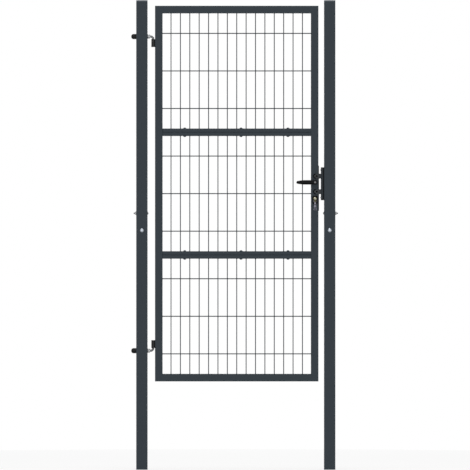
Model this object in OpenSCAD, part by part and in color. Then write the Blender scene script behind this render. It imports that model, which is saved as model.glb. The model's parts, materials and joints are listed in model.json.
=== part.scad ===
// Garden gate: a wire mesh leaf in a square tube frame, hung between two posts.
// Origin: centre of the hinge post's foot. +X to the latch post, +Y to the back, +Z up.

/* [Posts] */
// Side of each square post
post_side = 60; // [50:1:80]
// Wall thickness of the post tubes
post_wall = 2; // [1.5:0.1:4]
// Corner radius of the post tubes
post_corner_r = 3; // [2:0.5:6]
// Height of the posts with their caps
post_height = 2500; // [2300:10:2900]
// Thickness of the caps on the posts
post_cap_t = 8; // [2:0.5:12]
// Depth of the caps' plugs inside the posts
post_plug_depth = 15; // [8:1:40]
// Wall thickness of the caps' plugs
post_plug_wall = 2.5; // [1.5:0.1:4]

/* [Leaf] */
// Width of the leaf
leaf_width = 870; // [770:10:1170]
// Height of the leaf
leaf_height = 2000; // [1900:10:2100]
// Distance of the leaf's upper edge below the posts' tops
leaf_drop = 30; // [10:1:60]
// Gap between the hinge post and the leaf
hinge_gap = 40; // [38:1:50]
// Gap between the leaf and the latch post
latch_gap = 30; // [28:1:40]
// Side of the square tube of the leaf's frame
frame_side = 40; // [40:1:50]
// Wall thickness of the leaf's tubes
frame_wall = 2; // [1.2:0.1:3]
// Corner radius of the leaf's tubes
frame_corner_r = 3; // [2:0.5:5]
// Height of each of the two bars of a middle rail
bar_height = 20; // [15:1:30]

/* [Mesh] */
// Diameter of the upright wires
upright_d = 5; // [4:0.5:6]
// Diameter of the level wires
level_d = 5.5; // [4:0.5:6]
// Spacing of the upright wires
upright_pitch = 50; // [40:1:60]
// Spacing of the level wires
level_pitch = 200; // [150:5:205]
// Depth to which crossing wires are welded into each other
weld_depth = 0.8; // [0.4:0.1:1.5]

/* [Hinges] */
// Diameter of the hinge rods
rod_d = 12; // [10:0.5:12]
// Distance of the rods from the leaf's upper and lower edges
rod_inset = 163.5; // [120:0.5:300]
// Bend radius of the rods' centre lines
rod_bend_r = 13.5; // [12:0.5:14]
// Outside diameter of the hinge barrels
barrel_d = 20; // [18:0.5:22]
// Length of the hinge barrels
barrel_length = 42; // [30:1:60]
// Radial clearance of the pins in the barrels
pin_clearance = 0.08; // [0.05:0.01:0.1]
// End clearance between a barrel and the bend of its rod
barrel_end_gap = 0.5; // [0.3:0.1:1]
// Distance that a pin's end stays inside its barrel
pin_recess = 4; // [1:0.5:6]
// Width of the pads that join the barrels to the leaf
barrel_pad_width = 14; // [13:1:18]
// Size across the flats of the rods' nuts
rod_nut_af = 18; // [16:1:18]
// Thickness of the rods' nuts
rod_nut_t = 10.8; // [8:0.1:11]
// Diameter of the rods' washers
rod_washer_d = 24; // [20:1:26]
// Thickness of the rods' washers
rod_washer_t = 2.5; // [1.5:0.1:3]
// Diameter of the caps over the rods' outer nuts
nut_cap_d = 28; // [26:1:34]
// Length of the caps over the rods' outer nuts
nut_cap_length = 27; // [22:1:32]
// Thickness of the nut caps' closed ends
nut_cap_end_t = 8; // [3:0.5:9]
// Rounding of the nut caps' ends
nut_cap_round = 12.5; // [4:0.5:12.5]

/* [Bolts] */
// Diameter of the bolts
bolt_d = 8; // [6:0.5:10]
// Diameter of the domed heads on the rails
rail_head_d = 17; // [15:1:20]
// Height of the domed heads
head_h = 5.5; // [4:0.5:7]
// Size across the flats of the bolts' nuts
nut_af = 13; // [12:1:16]
// Thickness of the bolts' nuts
nut_t = 6.5; // [5:0.5:8]
// Thickness of the bolts' washers
washer_t = 1.6; // [1:0.1:2]
// Gap between upright wires, counted from a stile, that holds an outer rail bolt
rail_bolt_gap = 2; // [1:1:4]
// Distance of the rail bolts from the middles of their gaps, towards the hinge post
rail_bolt_shift = 2; // [0:0.5:4]
// Distance of the side bolts below the lever's axis
side_bolt_drop = 164.5; // [130:0.5:200]
// Distance of the front bolts below the lever's axis
front_bolt_drop = 256; // [220:0.5:300]
// Diameter of the heads of the side bolts
side_head_d = 16; // [14:1:20]
// Diameter of the heads of the front bolts
front_head_d = 20; // [16:1:24]
// Diameter of the washers of the post bolts
post_washer_d = 22; // [18:1:26]
// Length of thread that stands out past the post bolts' nuts
thread_end = 6; // [2:1:10]

/* [Lock] */
// Height of the lever's axis above the leaf's lower edge
lever_rise = 1060; // [1000:1:1080]
// Distance of the key's axis below the lever's axis
key_drop = 86; // [80:1:92]
// Height of the latch above the lever's axis
latch_rise = 33; // [30:1:36]
// Distance of the dead bolt below the lever's axis
bolt_drop = 50; // [46:1:52]
// Height of the lock's faceplate
faceplate_height = 240; // [230:5:280]
// Width of the lock's faceplate
faceplate_width = 22; // [20:1:24]
// Thickness of the lock's faceplate
faceplate_t = 3; // [2:0.5:4]
// Height of the lock's case
case_height = 192; // [180:1:200]
// Depth of the lock's case inside the stile
case_depth = 33; // [32:0.5:34]
// Width of the lock's case
case_width = 15; // [14:1:16]
// Distance of the case's middle below the middle between latch and key
case_shift = 5; // [2:0.5:6]
// Distance of the lock's axis from the stile's middle, towards the latch post
lock_shift = 2; // [0:0.5:3]
// Height of the latch
latch_height = 26; // [20:1:28]
// Height of the dead bolt
dead_bolt_height = 20; // [16:1:22]
// Width of the latch and of the dead bolt
nose_width = 11; // [9:0.5:12]
// Length of the latch and of the dead bolt inside the leaf
nose_depth = 20; // [14:1:22]
// Distance that the latch stands out of the faceplate
latch_out = 4.5; // [2:0.5:5]
// Distance that the dead bolt stands out of the faceplate
dead_bolt_out = 2.5; // [1:0.5:5]
// Radius of the round part of the lock cylinder's profile
profile_r = 8.5; // [8:0.1:9]
// Width of the leg below the round part
profile_leg = 10; // [9:0.5:11]
// Whole height of the lock cylinder's profile
profile_height = 33; // [31:0.5:35]
// Distance that the lock cylinder stands out of the escutcheons
cylinder_out = 3; // [1:0.5:4]
// Radius of the cylinder's plug
plug_r = 6.5; // [5.5:0.1:7]
// Length of the cylinder's plug
plug_length = 12; // [10:0.5:16]
// Diameter of the roses and of their cover rings
rose_d = 24; // [22:1:28]
// Thickness of the roses and escutcheons
rose_t = 6; // [4:0.5:8]
// Width of the escutcheons
escutcheon_width = 28; // [24:1:34]
// Height of the escutcheons
escutcheon_height = 44; // [42:1:60]
// Corner radius of the escutcheons
escutcheon_corner_r = 9; // [4:0.5:11]

/* [Lever] */
// Distance of the grips' centre line from the leaf's faces
lever_stand_off = 51; // [50:1:60]
// Distance of the grip's tip from the lever's axis
lever_reach = 99; // [85:1:130]
// Greatest height of the grip
grip_height = 23; // [18:1:26]
// Height of the grip where it leaves the hub
grip_shank = 19; // [16:1:21]
// Height of the grip at its tip
grip_tip = 15.4; // [12:0.2:18]
// Distance from the lever's axis at which the grip reaches its greatest height
grip_swell_start = 20; // [16:1:30]
// Length over which the grip keeps its greatest height
grip_swell_length = 41; // [20:1:42]
// Depth of the grip from front to back
grip_depth = 15; // [12:1:16]
// Diameter of the lever's hub
hub_d = 25; // [22:1:28]
// Diameter of the neck between the rose and the hub
neck_d = 16; // [14:1:18]
// Side of the square spindle
spindle_side = 8; // [7:1:8]
// Diameter of the buttons at the spindle's ends
button_d = 12; // [11.5:0.5:16]
// Thickness of the spindle's end buttons
button_t = 2; // [1:0.5:4]
// Depth of the buttons' faces inside the hubs
button_inset = 1; // [0:0.5:2]

/* [Keep] */
// Height of the keep
keep_height = 175; // [160:1:200]
// Thickness of the keep on the latch post
keep_t = 17; // [12:0.5:17]
// Distance that the keep reaches behind the post's middle
keep_back = 18; // [15:1:25]
// Distance of the keep's middle above the middle between latch and dead bolt
keep_shift = 1; // [0:0.5:5]
// Depth of the pockets in the keep
pocket_depth = 11; // [8:0.5:11]
// Gap around the latch and the dead bolt in their pockets
pocket_gap = 2; // [1:0.5:3]
// Height of the keep's stop arms
arm_height = 26; // [22:1:28]
// Thickness of the stop arms
arm_t = 5; // [4:0.5:6]
// Distance that the arms reach over the leaf
arm_overlap = 28; // [24:1:32]
// Diameter of the buffers' heads
buffer_d = 16; // [14:1:20]
// Thickness of the buffers' heads
buffer_t = 5.5; // [3:0.5:8]
// Distance of the buffers' middles from the middles of the arms' round ends
buffer_shift = 6; // [0:0.5:6]
// Diameter of the buffers' stems
stem_d = 9; // [7:0.5:10]
// Distance that the stems stand out of the arms
stem_out = 1; // [0.5:0.5:3]
// Diameter of the heads of the keep's screws
keep_screw_d = 10; // [8:0.5:12]
// Height of the heads of the keep's screws
keep_screw_h = 2.5; // [1.5:0.5:3]
// Distance of the keep's screws from its ends
keep_screw_inset = 14; // [8:1:18]
// Gap between the buffers and the closed leaf
buffer_gap = 0.5; // [0.3:0.1:1]

/* [Keys] */
// Thickness of the keys
key_t = 2.2; // [2:0.1:2.5]
// Diameter of the keys' bows
bow_d = 20; // [18:1:20]
// Radius of the hole in a bow
bow_hole_r = 3.5; // [3.5:0.1:4]
// Width of a bow's rim beside its hole
bow_rim = 2.5; // [1.5:0.1:2.5]
// Distance of the turned key's bow from the plug
key_shoulder = 3; // [1:0.5:5]
// Length of a key's blade
blade_length = 28; // [22:1:32]
// Height of a key's blade
blade_height = 8; // [7:0.5:9]
// Radius of the ring's centre line
ring_r = 9.2; // [8:0.2:12]
// Radius of the ring's wire
ring_wire_r = 0.75; // [0.6:0.05:0.8]
// Angle on the ring between its lowest point and each spare key
ring_slot_angle = 14; // [12:1:18]
// Angle at which each spare key leans outward
spare_splay = 4; // [3:1:8]

/* [Hidden] */
$fn = 48;

// Colours
steel_grey = "#3b4146";
zinc = "#a9adb2";
black = "#17181a";
brass = "#b5a45a";
silver = "#b8b8c0";

// Shared small sizes
cut = 1;                    // how far a cutting shape runs past a face
bolt_hole_gap = 0.5;        // radial clearance of a bolt in its hole
slip = 0.3;                 // gap between a turning piece and a fixed one
inner_corner_r = 0.5;       // least radius of a tube's inner corners
wire_sides = 8;

// Posts
post_half = post_side / 2;
post_tube_height = post_height - post_cap_t;

// Leaf
leaf_x0 = post_half + hinge_gap;
leaf_x1 = leaf_x0 + leaf_width;
leaf_top = post_height - leaf_drop;
leaf_bottom = leaf_top - leaf_height;
latch_post_x = leaf_x1 + latch_gap + post_half;
leaf_half = frame_side / 2;
inner_x0 = leaf_x0 + frame_side;
inner_x1 = leaf_x1 - frame_side;
inner_width = inner_x1 - inner_x0;
inner_z0 = leaf_bottom + frame_side;
rail_height = 2 * bar_height;
bay_height = (leaf_height - 2 * frame_side - 2 * rail_height) / 3;
lower_rail_z = inner_z0 + bay_height;
upper_rail_z = lower_rail_z + rail_height + bay_height;

// Mesh
upright_count = floor(inner_width / upright_pitch);
level_count = floor(bay_height / level_pitch);
first_upright_x = (inner_x0 + inner_x1 - (upright_count - 1) * upright_pitch) / 2;
last_upright_x = first_upright_x + (upright_count - 1) * upright_pitch;
wire_spread = (upright_d + level_d) / 2 - weld_depth;
rail_bolt_xs = [
    first_upright_x + (rail_bolt_gap - 0.5) * upright_pitch - rail_bolt_shift,
    first_upright_x + (floor(upright_count / 2) + 0.5) * upright_pitch - rail_bolt_shift,
    last_upright_x - (rail_bolt_gap - 0.5) * upright_pitch - rail_bolt_shift
];

// Hinges
hinge_x = leaf_x0 - barrel_d / 2;
upper_rod_z = leaf_top - rod_inset;
lower_rod_z = leaf_bottom + rod_inset;
barrel_offset = rod_bend_r + barrel_end_gap;
pin_length = barrel_end_gap + barrel_length - pin_recess;
rod_end_x = -post_half - nut_cap_length + nut_cap_end_t;

// Lock
lock_x = (inner_x1 + leaf_x1) / 2 + lock_shift;
lever_z = leaf_bottom + lever_rise;
key_z = lever_z - key_drop;
latch_z = lever_z + latch_rise;
dead_bolt_z = lever_z - bolt_drop;
case_z = (latch_z + key_z) / 2 - case_shift;
cylinder_half = leaf_half + rose_t + cylinder_out;
key_slot_end = 3;           // solid end of the plug behind the key
spindle_hole_d = spindle_side * sqrt(2) + 1;
grip_y = leaf_half + lever_stand_off;
spindle_half = grip_y + grip_depth / 2 - button_inset;

// Bolts
side_bolt_z = lever_z - side_bolt_drop;
front_bolt_z = lever_z - front_bolt_drop;
bolt_hole_d = bolt_d + 2 * bolt_hole_gap;

// Keep
keep_x0 = latch_post_x - post_half - keep_t;
keep_front = -leaf_half - buffer_gap - buffer_t - arm_t;
keep_z = (latch_z + dead_bolt_z) / 2 + keep_shift;
arm_end_x = leaf_x1 - arm_overlap + arm_height / 2;
buffer_x = arm_end_x + buffer_shift;

// Keys
key_axis_y = -cylinder_half;
bow_y = key_axis_y - key_shoulder - bow_d / 2;
hole_offset = bow_d / 2 - bow_hole_r - bow_rim;
hole_y = bow_y - hole_offset;
ring_drop = 1.8;            // the ring's wire hangs this far below the hole's middle
ring_z = key_z - ring_drop - ring_r;
ring_touch_gap = 0.1;       // between the ring's wire and the edge of a key's hole

// ---- General shapes ----

module rounded_rect(w, d, r) {
    square([w - 2 * r, d], center = true);
    square([w, d - 2 * r], center = true);
    for (sx = [-1, 1], sy = [-1, 1])
        translate([sx * (w / 2 - r), sy * (d / 2 - r)]) circle(r);
}

module tube(w, d, wall, r, length) {
    linear_extrude(length) difference() {
        rounded_rect(w, d, r);
        rounded_rect(w - 2 * wall, d - 2 * wall, max(r - wall, inner_corner_r));
    }
}

// A tube that runs along +X, with its depth along Y and its height along Z
module tube_x(depth, height, wall, r, length) {
    rotate([90, 0, 90]) tube(depth, height, wall, r, length);
}

// Turns a shape made along +Z so that it runs along -Y
module to_front() {
    rotate([90, 0, 0]) children();
}

// Turns a shape made along +Z so that it runs along +X
module to_right() {
    rotate([0, 90, 0]) children();
}

module hex(af, h) {
    cylinder(d = af / cos(30), h = h, $fn = 6);
}

module dome(d, h) {
    r = (h * h + d * d / 4) / (2 * h);
    intersection() {
        translate([0, 0, h - r]) sphere(r);
        cylinder(d = d, h = h);
    }
}

// A bolt with a domed head above z = 0 and its nut below z = -grip
module domed_bolt(head_d, grip, washer_d, out) {
    dome(head_d, head_h);
    translate([0, 0, -grip - washer_t - nut_t - out])
        cylinder(d = bolt_d, h = grip + washer_t + nut_t + out);
    translate([0, 0, -grip - washer_t]) cylinder(d = washer_d, h = washer_t);
    translate([0, 0, -grip - washer_t - nut_t]) rotate(30) hex(nut_af, nut_t);
}

// ---- Posts ----

module post_tube() {
    tube(post_side, post_side, post_wall, post_corner_r, post_tube_height);
    linear_extrude(post_wall) rounded_rect(post_side, post_side, post_corner_r);
}

module post_bolt_holes() {
    translate([-post_half - cut, 0, side_bolt_z])
        to_right() cylinder(d = bolt_hole_d, h = post_side + 2 * cut);
    translate([0, post_half + cut, front_bolt_z])
        to_front() cylinder(d = bolt_hole_d, h = post_side + 2 * cut);
}

module hinge_post() {
    color(steel_grey) difference() {
        post_tube();
        post_bolt_holes();
        for (z = [upper_rod_z, lower_rod_z])
            translate([-post_half - cut, 0, z])
                to_right() cylinder(r = rod_d / 2 + bolt_hole_gap, h = post_side + 2 * cut);
    }
}

module latch_post() {
    color(steel_grey) translate([latch_post_x, 0, 0]) difference() {
        post_tube();
        post_bolt_holes();
    }
}

module post_cap() {
    inner = post_side - 2 * post_wall;
    color(steel_grey) translate([0, 0, post_tube_height]) {
        linear_extrude(post_cap_t) rounded_rect(post_side, post_side, post_corner_r);
        translate([0, 0, -post_plug_depth])
            tube(inner, inner, post_plug_wall, 2 * inner_corner_r, post_plug_depth + post_cap_t / 2);
    }
}

module hinge_post_cap() {
    post_cap();
}

module latch_post_cap() {
    translate([latch_post_x, 0, 0]) post_cap();
}

module side_bolts() {
    color(zinc) {
        translate([post_half, 0, side_bolt_z])
            to_right() domed_bolt(side_head_d, post_side, post_washer_d, thread_end);
        translate([latch_post_x - post_half, 0, side_bolt_z])
            mirror([1, 0, 0]) to_right() domed_bolt(side_head_d, post_side, post_washer_d, thread_end);
    }
}

module front_bolts() {
    color(zinc) for (x = [0, latch_post_x])
        translate([x, -post_half, front_bolt_z])
            to_front() domed_bolt(front_head_d, post_side, post_washer_d, thread_end);
}

// ---- Hinges ----

// The rod runs along X at z = 0 and its pin points down
module hinge_rod() {
    bend_x = hinge_x - rod_bend_r;
    translate([rod_end_x, 0, 0]) to_right() cylinder(d = rod_d, h = bend_x - rod_end_x);
    translate([bend_x, 0, -rod_bend_r]) to_front()
        rotate_extrude(angle = 90) translate([rod_bend_r, 0]) circle(d = rod_d);
    translate([hinge_x, 0, -rod_bend_r - pin_length]) cylinder(d = rod_d, h = pin_length);
}

module upper_hinge_rod() {
    color(zinc) translate([0, 0, upper_rod_z]) hinge_rod();
}

module lower_hinge_rod() {
    color(zinc) translate([0, 0, lower_rod_z]) mirror([0, 0, 1]) hinge_rod();
}

module rod_nut() {
    translate([post_half, 0, 0]) to_right() difference() {
        union() {
            cylinder(d = rod_washer_d, h = rod_washer_t);
            hex(rod_nut_af, rod_washer_t + rod_nut_t);
        }
        translate([0, 0, -cut]) cylinder(d = rod_d, h = rod_washer_t + rod_nut_t + 2 * cut);
    }
}

module upper_rod_nut() {
    color(zinc) translate([0, 0, upper_rod_z]) rod_nut();
}

module lower_rod_nut() {
    color(zinc) translate([0, 0, lower_rod_z]) rod_nut();
}

// A domed cap on the post's outer face, with a blind hole for the rod
module nut_cap() {
    r = nut_cap_d / 2;
    translate([-post_half, 0, 0]) rotate([0, -90, 0]) difference() {
        union() {
            cylinder(r = r, h = nut_cap_length - nut_cap_round);
            cylinder(r = r - nut_cap_round, h = nut_cap_length);
            translate([0, 0, nut_cap_length - nut_cap_round]) rotate_extrude()
                translate([r - nut_cap_round, 0]) intersection() {
                    circle(nut_cap_round);
                    square(nut_cap_round);
                }
        }
        translate([0, 0, -cut]) cylinder(d = rod_d, h = -post_half - rod_end_x + cut);
    }
}

module upper_nut_cap() {
    color(black) translate([0, 0, upper_rod_z]) nut_cap();
}

module lower_nut_cap() {
    color(black) translate([0, 0, lower_rod_z]) nut_cap();
}

// A barrel on the pin, below a rod at z = 0, with a pad that meets the stile
module hinge_barrel() {
    translate([0, 0, -barrel_offset - barrel_length]) difference() {
        union() {
            translate([hinge_x, 0, 0]) cylinder(d = barrel_d, h = barrel_length);
            translate([hinge_x, -barrel_pad_width / 2, 0])
                cube([leaf_x0 - hinge_x, barrel_pad_width, barrel_length]);
        }
        translate([hinge_x, 0, -cut])
            cylinder(r = rod_d / 2 + pin_clearance, h = barrel_length + 2 * cut);
    }
}

module upper_hinge_barrel() {
    color(black) translate([0, 0, upper_rod_z]) hinge_barrel();
}

module lower_hinge_barrel() {
    color(black) translate([0, 0, lower_rod_z]) mirror([0, 0, 1]) hinge_barrel();
}

// ---- Leaf frame ----

// Keeps the part of a tube inside an outline in the XZ plane
module mitred(outline) {
    intersection() {
        children();
        translate([0, leaf_half + cut, 0])
            to_front() linear_extrude(frame_side + 2 * cut) polygon(outline);
    }
}

module frame_upright(x) {
    translate([x, 0, leaf_bottom])
        tube(frame_side, frame_side, frame_wall, frame_corner_r, leaf_height);
}

module hinge_stile() {
    outline = [
        [leaf_x0, leaf_bottom], [inner_x0, inner_z0],
        [inner_x0, leaf_top - frame_side], [leaf_x0, leaf_top]
    ];
    color(steel_grey) mitred(outline) frame_upright(leaf_x0 + leaf_half);
}

module latch_stile() {
    outline = [
        [leaf_x1, leaf_bottom], [inner_x1, inner_z0],
        [inner_x1, leaf_top - frame_side], [leaf_x1, leaf_top]
    ];
    color(steel_grey) difference() {
        mitred(outline) frame_upright(leaf_x1 - leaf_half);
        lock_openings();
    }
}

// The holes in the stile for the lock's case, spindle and cylinder
module lock_openings() {
    translate([lock_x, -case_width / 2 - slip, case_z - case_height / 2 - slip])
        cube([leaf_half + cut, case_width + 2 * slip, case_height + 2 * slip]);
    translate([lock_x, leaf_half + cut, lever_z])
        to_front() cylinder(d = spindle_hole_d, h = frame_side + 2 * cut);
    translate([lock_x, leaf_half + cut, key_z])
        to_front() linear_extrude(frame_side + 2 * cut) cylinder_profile(slip);
}

module frame_rail(z) {
    translate([leaf_x0, 0, z]) tube_x(frame_side, frame_side, frame_wall, frame_corner_r, leaf_width);
}

module top_rail() {
    outline = [
        [leaf_x0, leaf_top], [inner_x0, leaf_top - frame_side],
        [inner_x1, leaf_top - frame_side], [leaf_x1, leaf_top]
    ];
    color(steel_grey) mitred(outline) frame_rail(leaf_top - leaf_half);
}

module bottom_rail() {
    outline = [
        [leaf_x0, leaf_bottom], [inner_x0, inner_z0],
        [inner_x1, inner_z0], [leaf_x1, leaf_bottom]
    ];
    color(steel_grey) mitred(outline) frame_rail(leaf_bottom + leaf_half);
}

// One bar of a middle rail, with its lower face at z
module rail_bar(z) {
    color(steel_grey) difference() {
        translate([inner_x0, 0, z + bar_height / 2])
            tube_x(frame_side, bar_height, frame_wall, frame_corner_r, inner_width);
        for (x = rail_bolt_xs)
            translate([x, 0, z - cut]) cylinder(d = bolt_hole_d, h = bar_height + 2 * cut);
    }
}

module upper_middle_rail_top() {
    rail_bar(upper_rail_z + bar_height);
}

module upper_middle_rail_bottom() {
    rail_bar(upper_rail_z);
}

module lower_middle_rail_top() {
    rail_bar(lower_rail_z + bar_height);
}

module lower_middle_rail_bottom() {
    rail_bar(lower_rail_z);
}

// Bolts through a middle rail, with a domed head above and a domed cap below
module rail_bolts(z) {
    color(steel_grey) for (x = rail_bolt_xs) {
        translate([x, 0, z]) cylinder(d = bolt_d, h = rail_height);
        translate([x, 0, z + rail_height]) dome(rail_head_d, head_h);
        translate([x, 0, z]) mirror([0, 0, 1]) dome(rail_head_d, head_h);
    }
}

module upper_rail_bolts() {
    rail_bolts(upper_rail_z);
}

module lower_rail_bolts() {
    rail_bolts(lower_rail_z);
}

// ---- Mesh ----

// A wire of few sides with two of its flats across the stated diameter
module wire(d, length) {
    rotate(180 / wire_sides)
        cylinder(d = d / cos(180 / wire_sides), h = length, $fn = wire_sides);
}

// The wires that fill one bay, whose lower edge is at z
module mesh_panel(z) {
    first_z = z + (bay_height - (level_count - 1) * level_pitch) / 2;
    color(steel_grey) union() {
        for (i = [0 : upright_count - 1])
            translate([first_upright_x + i * upright_pitch, wire_spread / 2, z])
                wire(upright_d, bay_height);
        for (i = [0 : level_count - 1])
            translate([inner_x0, -wire_spread / 2, first_z + i * level_pitch])
                to_right() wire(level_d, inner_width);
    }
}

module upper_mesh() {
    mesh_panel(upper_rail_z + rail_height);
}

module middle_mesh() {
    mesh_panel(lower_rail_z + rail_height);
}

module lower_mesh() {
    mesh_panel(inner_z0);
}

// ---- Lock ----

// The lock cylinder's outline, round above and narrow below, grown by a gap
module cylinder_profile(gap) {
    leg_r = profile_leg / 2 + gap;
    leg_y = profile_r + profile_leg / 2 - profile_height;
    circle(profile_r + gap);
    translate([-leg_r, leg_y]) square([2 * leg_r, -leg_y]);
    translate([0, leg_y]) circle(leg_r);
}

// A box around the line along X at height z, from depth x0 to x1
module nose_box(z, height, x0, x1, gap) {
    translate([x0, -nose_width / 2 - gap, z - height / 2 - gap])
        cube([x1 - x0, nose_width + 2 * gap, height + 2 * gap]);
}

module lock_case() {
    back_x = leaf_x1 - case_depth;
    color(black) difference() {
        union() {
            translate([back_x, -case_width / 2, case_z - case_height / 2])
                cube([case_depth, case_width, case_height]);
            translate([leaf_x1, -faceplate_width / 2, case_z - faceplate_height / 2])
                cube([faceplate_t, faceplate_width, faceplate_height]);
        }
        nose_box(latch_z, latch_height, leaf_x1 - nose_depth, leaf_x1 + faceplate_t + cut, 0);
        nose_box(dead_bolt_z, dead_bolt_height, leaf_x1 - nose_depth, leaf_x1 + faceplate_t + cut, 0);
        translate([lock_x, case_width, lever_z])
            to_front() cylinder(d = spindle_hole_d, h = 2 * case_width);
        translate([lock_x, case_width, key_z])
            to_front() linear_extrude(2 * case_width) cylinder_profile(0);
    }
}

// The latch's nose is bevelled on its front side
module latch_bolt() {
    nose_x = leaf_x1 + faceplate_t + latch_out;
    color(zinc) difference() {
        nose_box(latch_z, latch_height, leaf_x1 - nose_depth, nose_x, 0);
        translate([nose_x, -nose_width / 2, latch_z - latch_height / 2 - cut])
            rotate(45) translate([-latch_out / 2, -latch_out, 0])
                cube([latch_out, 2 * latch_out, latch_height + 2 * cut]);
    }
}

module dead_bolt() {
    nose_x = leaf_x1 + faceplate_t + dead_bolt_out;
    color(zinc) nose_box(dead_bolt_z, dead_bolt_height, leaf_x1 - nose_depth, nose_x, 0);
}

module lock_cylinder() {
    color(brass) translate([lock_x, 0, key_z]) difference() {
        translate([0, cylinder_half, 0])
            to_front() linear_extrude(2 * cylinder_half) cylinder_profile(0);
        translate([0, -cylinder_half + plug_length, 0])
            to_front() cylinder(r = plug_r + pin_clearance, h = plug_length + cut);
    }
}

module escutcheon() {
    color(black) translate([lock_x, -leaf_half, key_z])
        to_front() linear_extrude(rose_t) difference() {
            translate([0, profile_r - profile_height / 2])
                rounded_rect(escutcheon_width, escutcheon_height, escutcheon_corner_r);
            cylinder_profile(0);
        }
}

module front_escutcheon() {
    escutcheon();
}

module back_escutcheon() {
    mirror([0, 1, 0]) escutcheon();
}

module rose() {
    color(black) translate([lock_x, -leaf_half, lever_z]) to_front() difference() {
        cylinder(d = rose_d, h = rose_t);
        translate([0, 0, -cut]) cylinder(d = spindle_hole_d, h = rose_t + 2 * cut);
    }
}

module front_rose() {
    rose();
}

module back_rose() {
    mirror([0, 1, 0]) rose();
}

// ---- Lever ----

// A spindle-shaped grip from the hub to the tip, flattened front and back
module grip() {
    tip_r = grip_tip / 2;
    swell_end = grip_swell_start + grip_swell_length;
    intersection() {
        rotate([0, -90, 0]) union() {
            cylinder(d1 = grip_shank, d2 = grip_height, h = grip_swell_start);
            translate([0, 0, grip_swell_start]) cylinder(d = grip_height, h = grip_swell_length);
            translate([0, 0, swell_end])
                cylinder(r1 = grip_height / 2, r2 = tip_r, h = lever_reach - tip_r - swell_end);
            translate([0, 0, lever_reach - tip_r]) sphere(tip_r);
        }
        translate([-lever_reach - cut, -grip_depth / 2, -grip_height])
            cube([lever_reach + cut, grip_depth, 2 * grip_height]);
    }
}

module lever() {
    neck_start = leaf_half + rose_t + slip;
    color(black) translate([lock_x, 0, lever_z]) difference() {
        union() {
            translate([0, -neck_start, 0])
                to_front() cylinder(d = neck_d, h = grip_y - neck_start);
            translate([0, -grip_y + grip_depth / 2, 0])
                to_front() cylinder(d = hub_d, h = grip_depth);
            translate([0, -grip_y, 0]) grip();
        }
        translate([-spindle_side / 2, -spindle_half, -spindle_side / 2])
            cube([spindle_side, spindle_half, spindle_side]);
        translate([0, -spindle_half + button_t, 0])
            to_front() cylinder(d = button_d, h = grip_depth);
    }
}

module front_lever() {
    lever();
}

module back_lever() {
    mirror([0, 1, 0]) lever();
}

module spindle() {
    color(silver) translate([lock_x, 0, lever_z]) {
        translate([-spindle_side / 2, -spindle_half + button_t, -spindle_side / 2])
            cube([spindle_side, 2 * (spindle_half - button_t), spindle_side]);
        for (side = [0, 1]) mirror([0, side, 0])
            translate([0, -spindle_half + button_t, 0])
                to_front() cylinder(d = button_d, h = button_t);
    }
}

// ---- Keys ----

// A key in the YZ plane: its bow's middle at the origin, its blade towards +Y
module key_shape(shank) {
    difference() {
        union() {
            to_right() translate([0, 0, -key_t / 2]) cylinder(d = bow_d, h = key_t);
            translate([-key_t / 2, 0, -blade_height / 2])
                cube([key_t, bow_d / 2 + shank, blade_height]);
        }
        translate([-key_t, -hole_offset, 0]) to_right() cylinder(r = bow_hole_r, h = 2 * key_t);
    }
}

module cylinder_plug() {
    color(brass) translate([lock_x, 0, key_z]) difference() {
        translate([0, -cylinder_half + plug_length - slip, 0])
            to_front() cylinder(r = plug_r, h = plug_length);
        translate([-key_t / 2, -cylinder_half - cut, -blade_height / 2])
            cube([key_t, plug_length - key_slot_end + cut, blade_height]);
    }
}

module key() {
    color(silver) translate([lock_x, bow_y, key_z])
        key_shape(key_shoulder + plug_length - key_slot_end);
}

module key_ring() {
    color(silver) translate([lock_x, hole_y, ring_z])
        to_front() rotate_extrude() translate([ring_r, 0]) circle(ring_wire_r);
}

// Two keys that hang from the ring and lean a little outward
module spare_keys() {
    hang = bow_hole_r - ring_wire_r - ring_touch_gap;
    color(silver) for (side = [-1, 1])
        translate([
            lock_x + side * ring_r * sin(ring_slot_angle), hole_y,
            ring_z - ring_r * cos(ring_slot_angle)
        ])
            rotate([0, -side * spare_splay, 0]) rotate([-90, 0, 0])
                translate([0, hang + hole_offset, 0]) key_shape(blade_length);
}

// ---- Keep ----

module keep() {
    pocket_x1 = keep_x0 + pocket_depth;
    color(black) difference() {
        translate([keep_x0, keep_front, keep_z - keep_height / 2])
            cube([keep_t, keep_back - keep_front, keep_height]);
        nose_box(latch_z, latch_height, keep_x0 - cut, pocket_x1, pocket_gap);
        nose_box(dead_bolt_z, dead_bolt_height, keep_x0 - cut, pocket_x1, pocket_gap);
    }
}

// Arms that reach from the keep over the leaf, rounded at their ends
module stop_arms() {
    color(steel_grey) for (z = [latch_z, dead_bolt_z])
        translate([0, keep_front + arm_t, z]) to_front() linear_extrude(arm_t) difference() {
            union() {
                translate([arm_end_x, 0]) circle(d = arm_height);
                translate([arm_end_x, -arm_height / 2]) square([keep_x0 - arm_end_x, arm_height]);
            }
            translate([buffer_x, 0]) circle(d = stem_d);
        }
}

// Screw heads on the keep's face towards the leaf
module keep_screws() {
    color(zinc) for (side = [-1, 1])
        translate([keep_x0, 0, keep_z + side * (keep_height / 2 - keep_screw_inset)])
            rotate([0, -90, 0]) dome(keep_screw_d, keep_screw_h);
}

module stop_buffers() {
    color(black) for (z = [latch_z, dead_bolt_z])
        translate([buffer_x, -leaf_half - buffer_gap, z]) to_front() {
            cylinder(d = buffer_d, h = buffer_t);
            cylinder(d = stem_d, h = buffer_t + arm_t + stem_out);
        }
}

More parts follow.
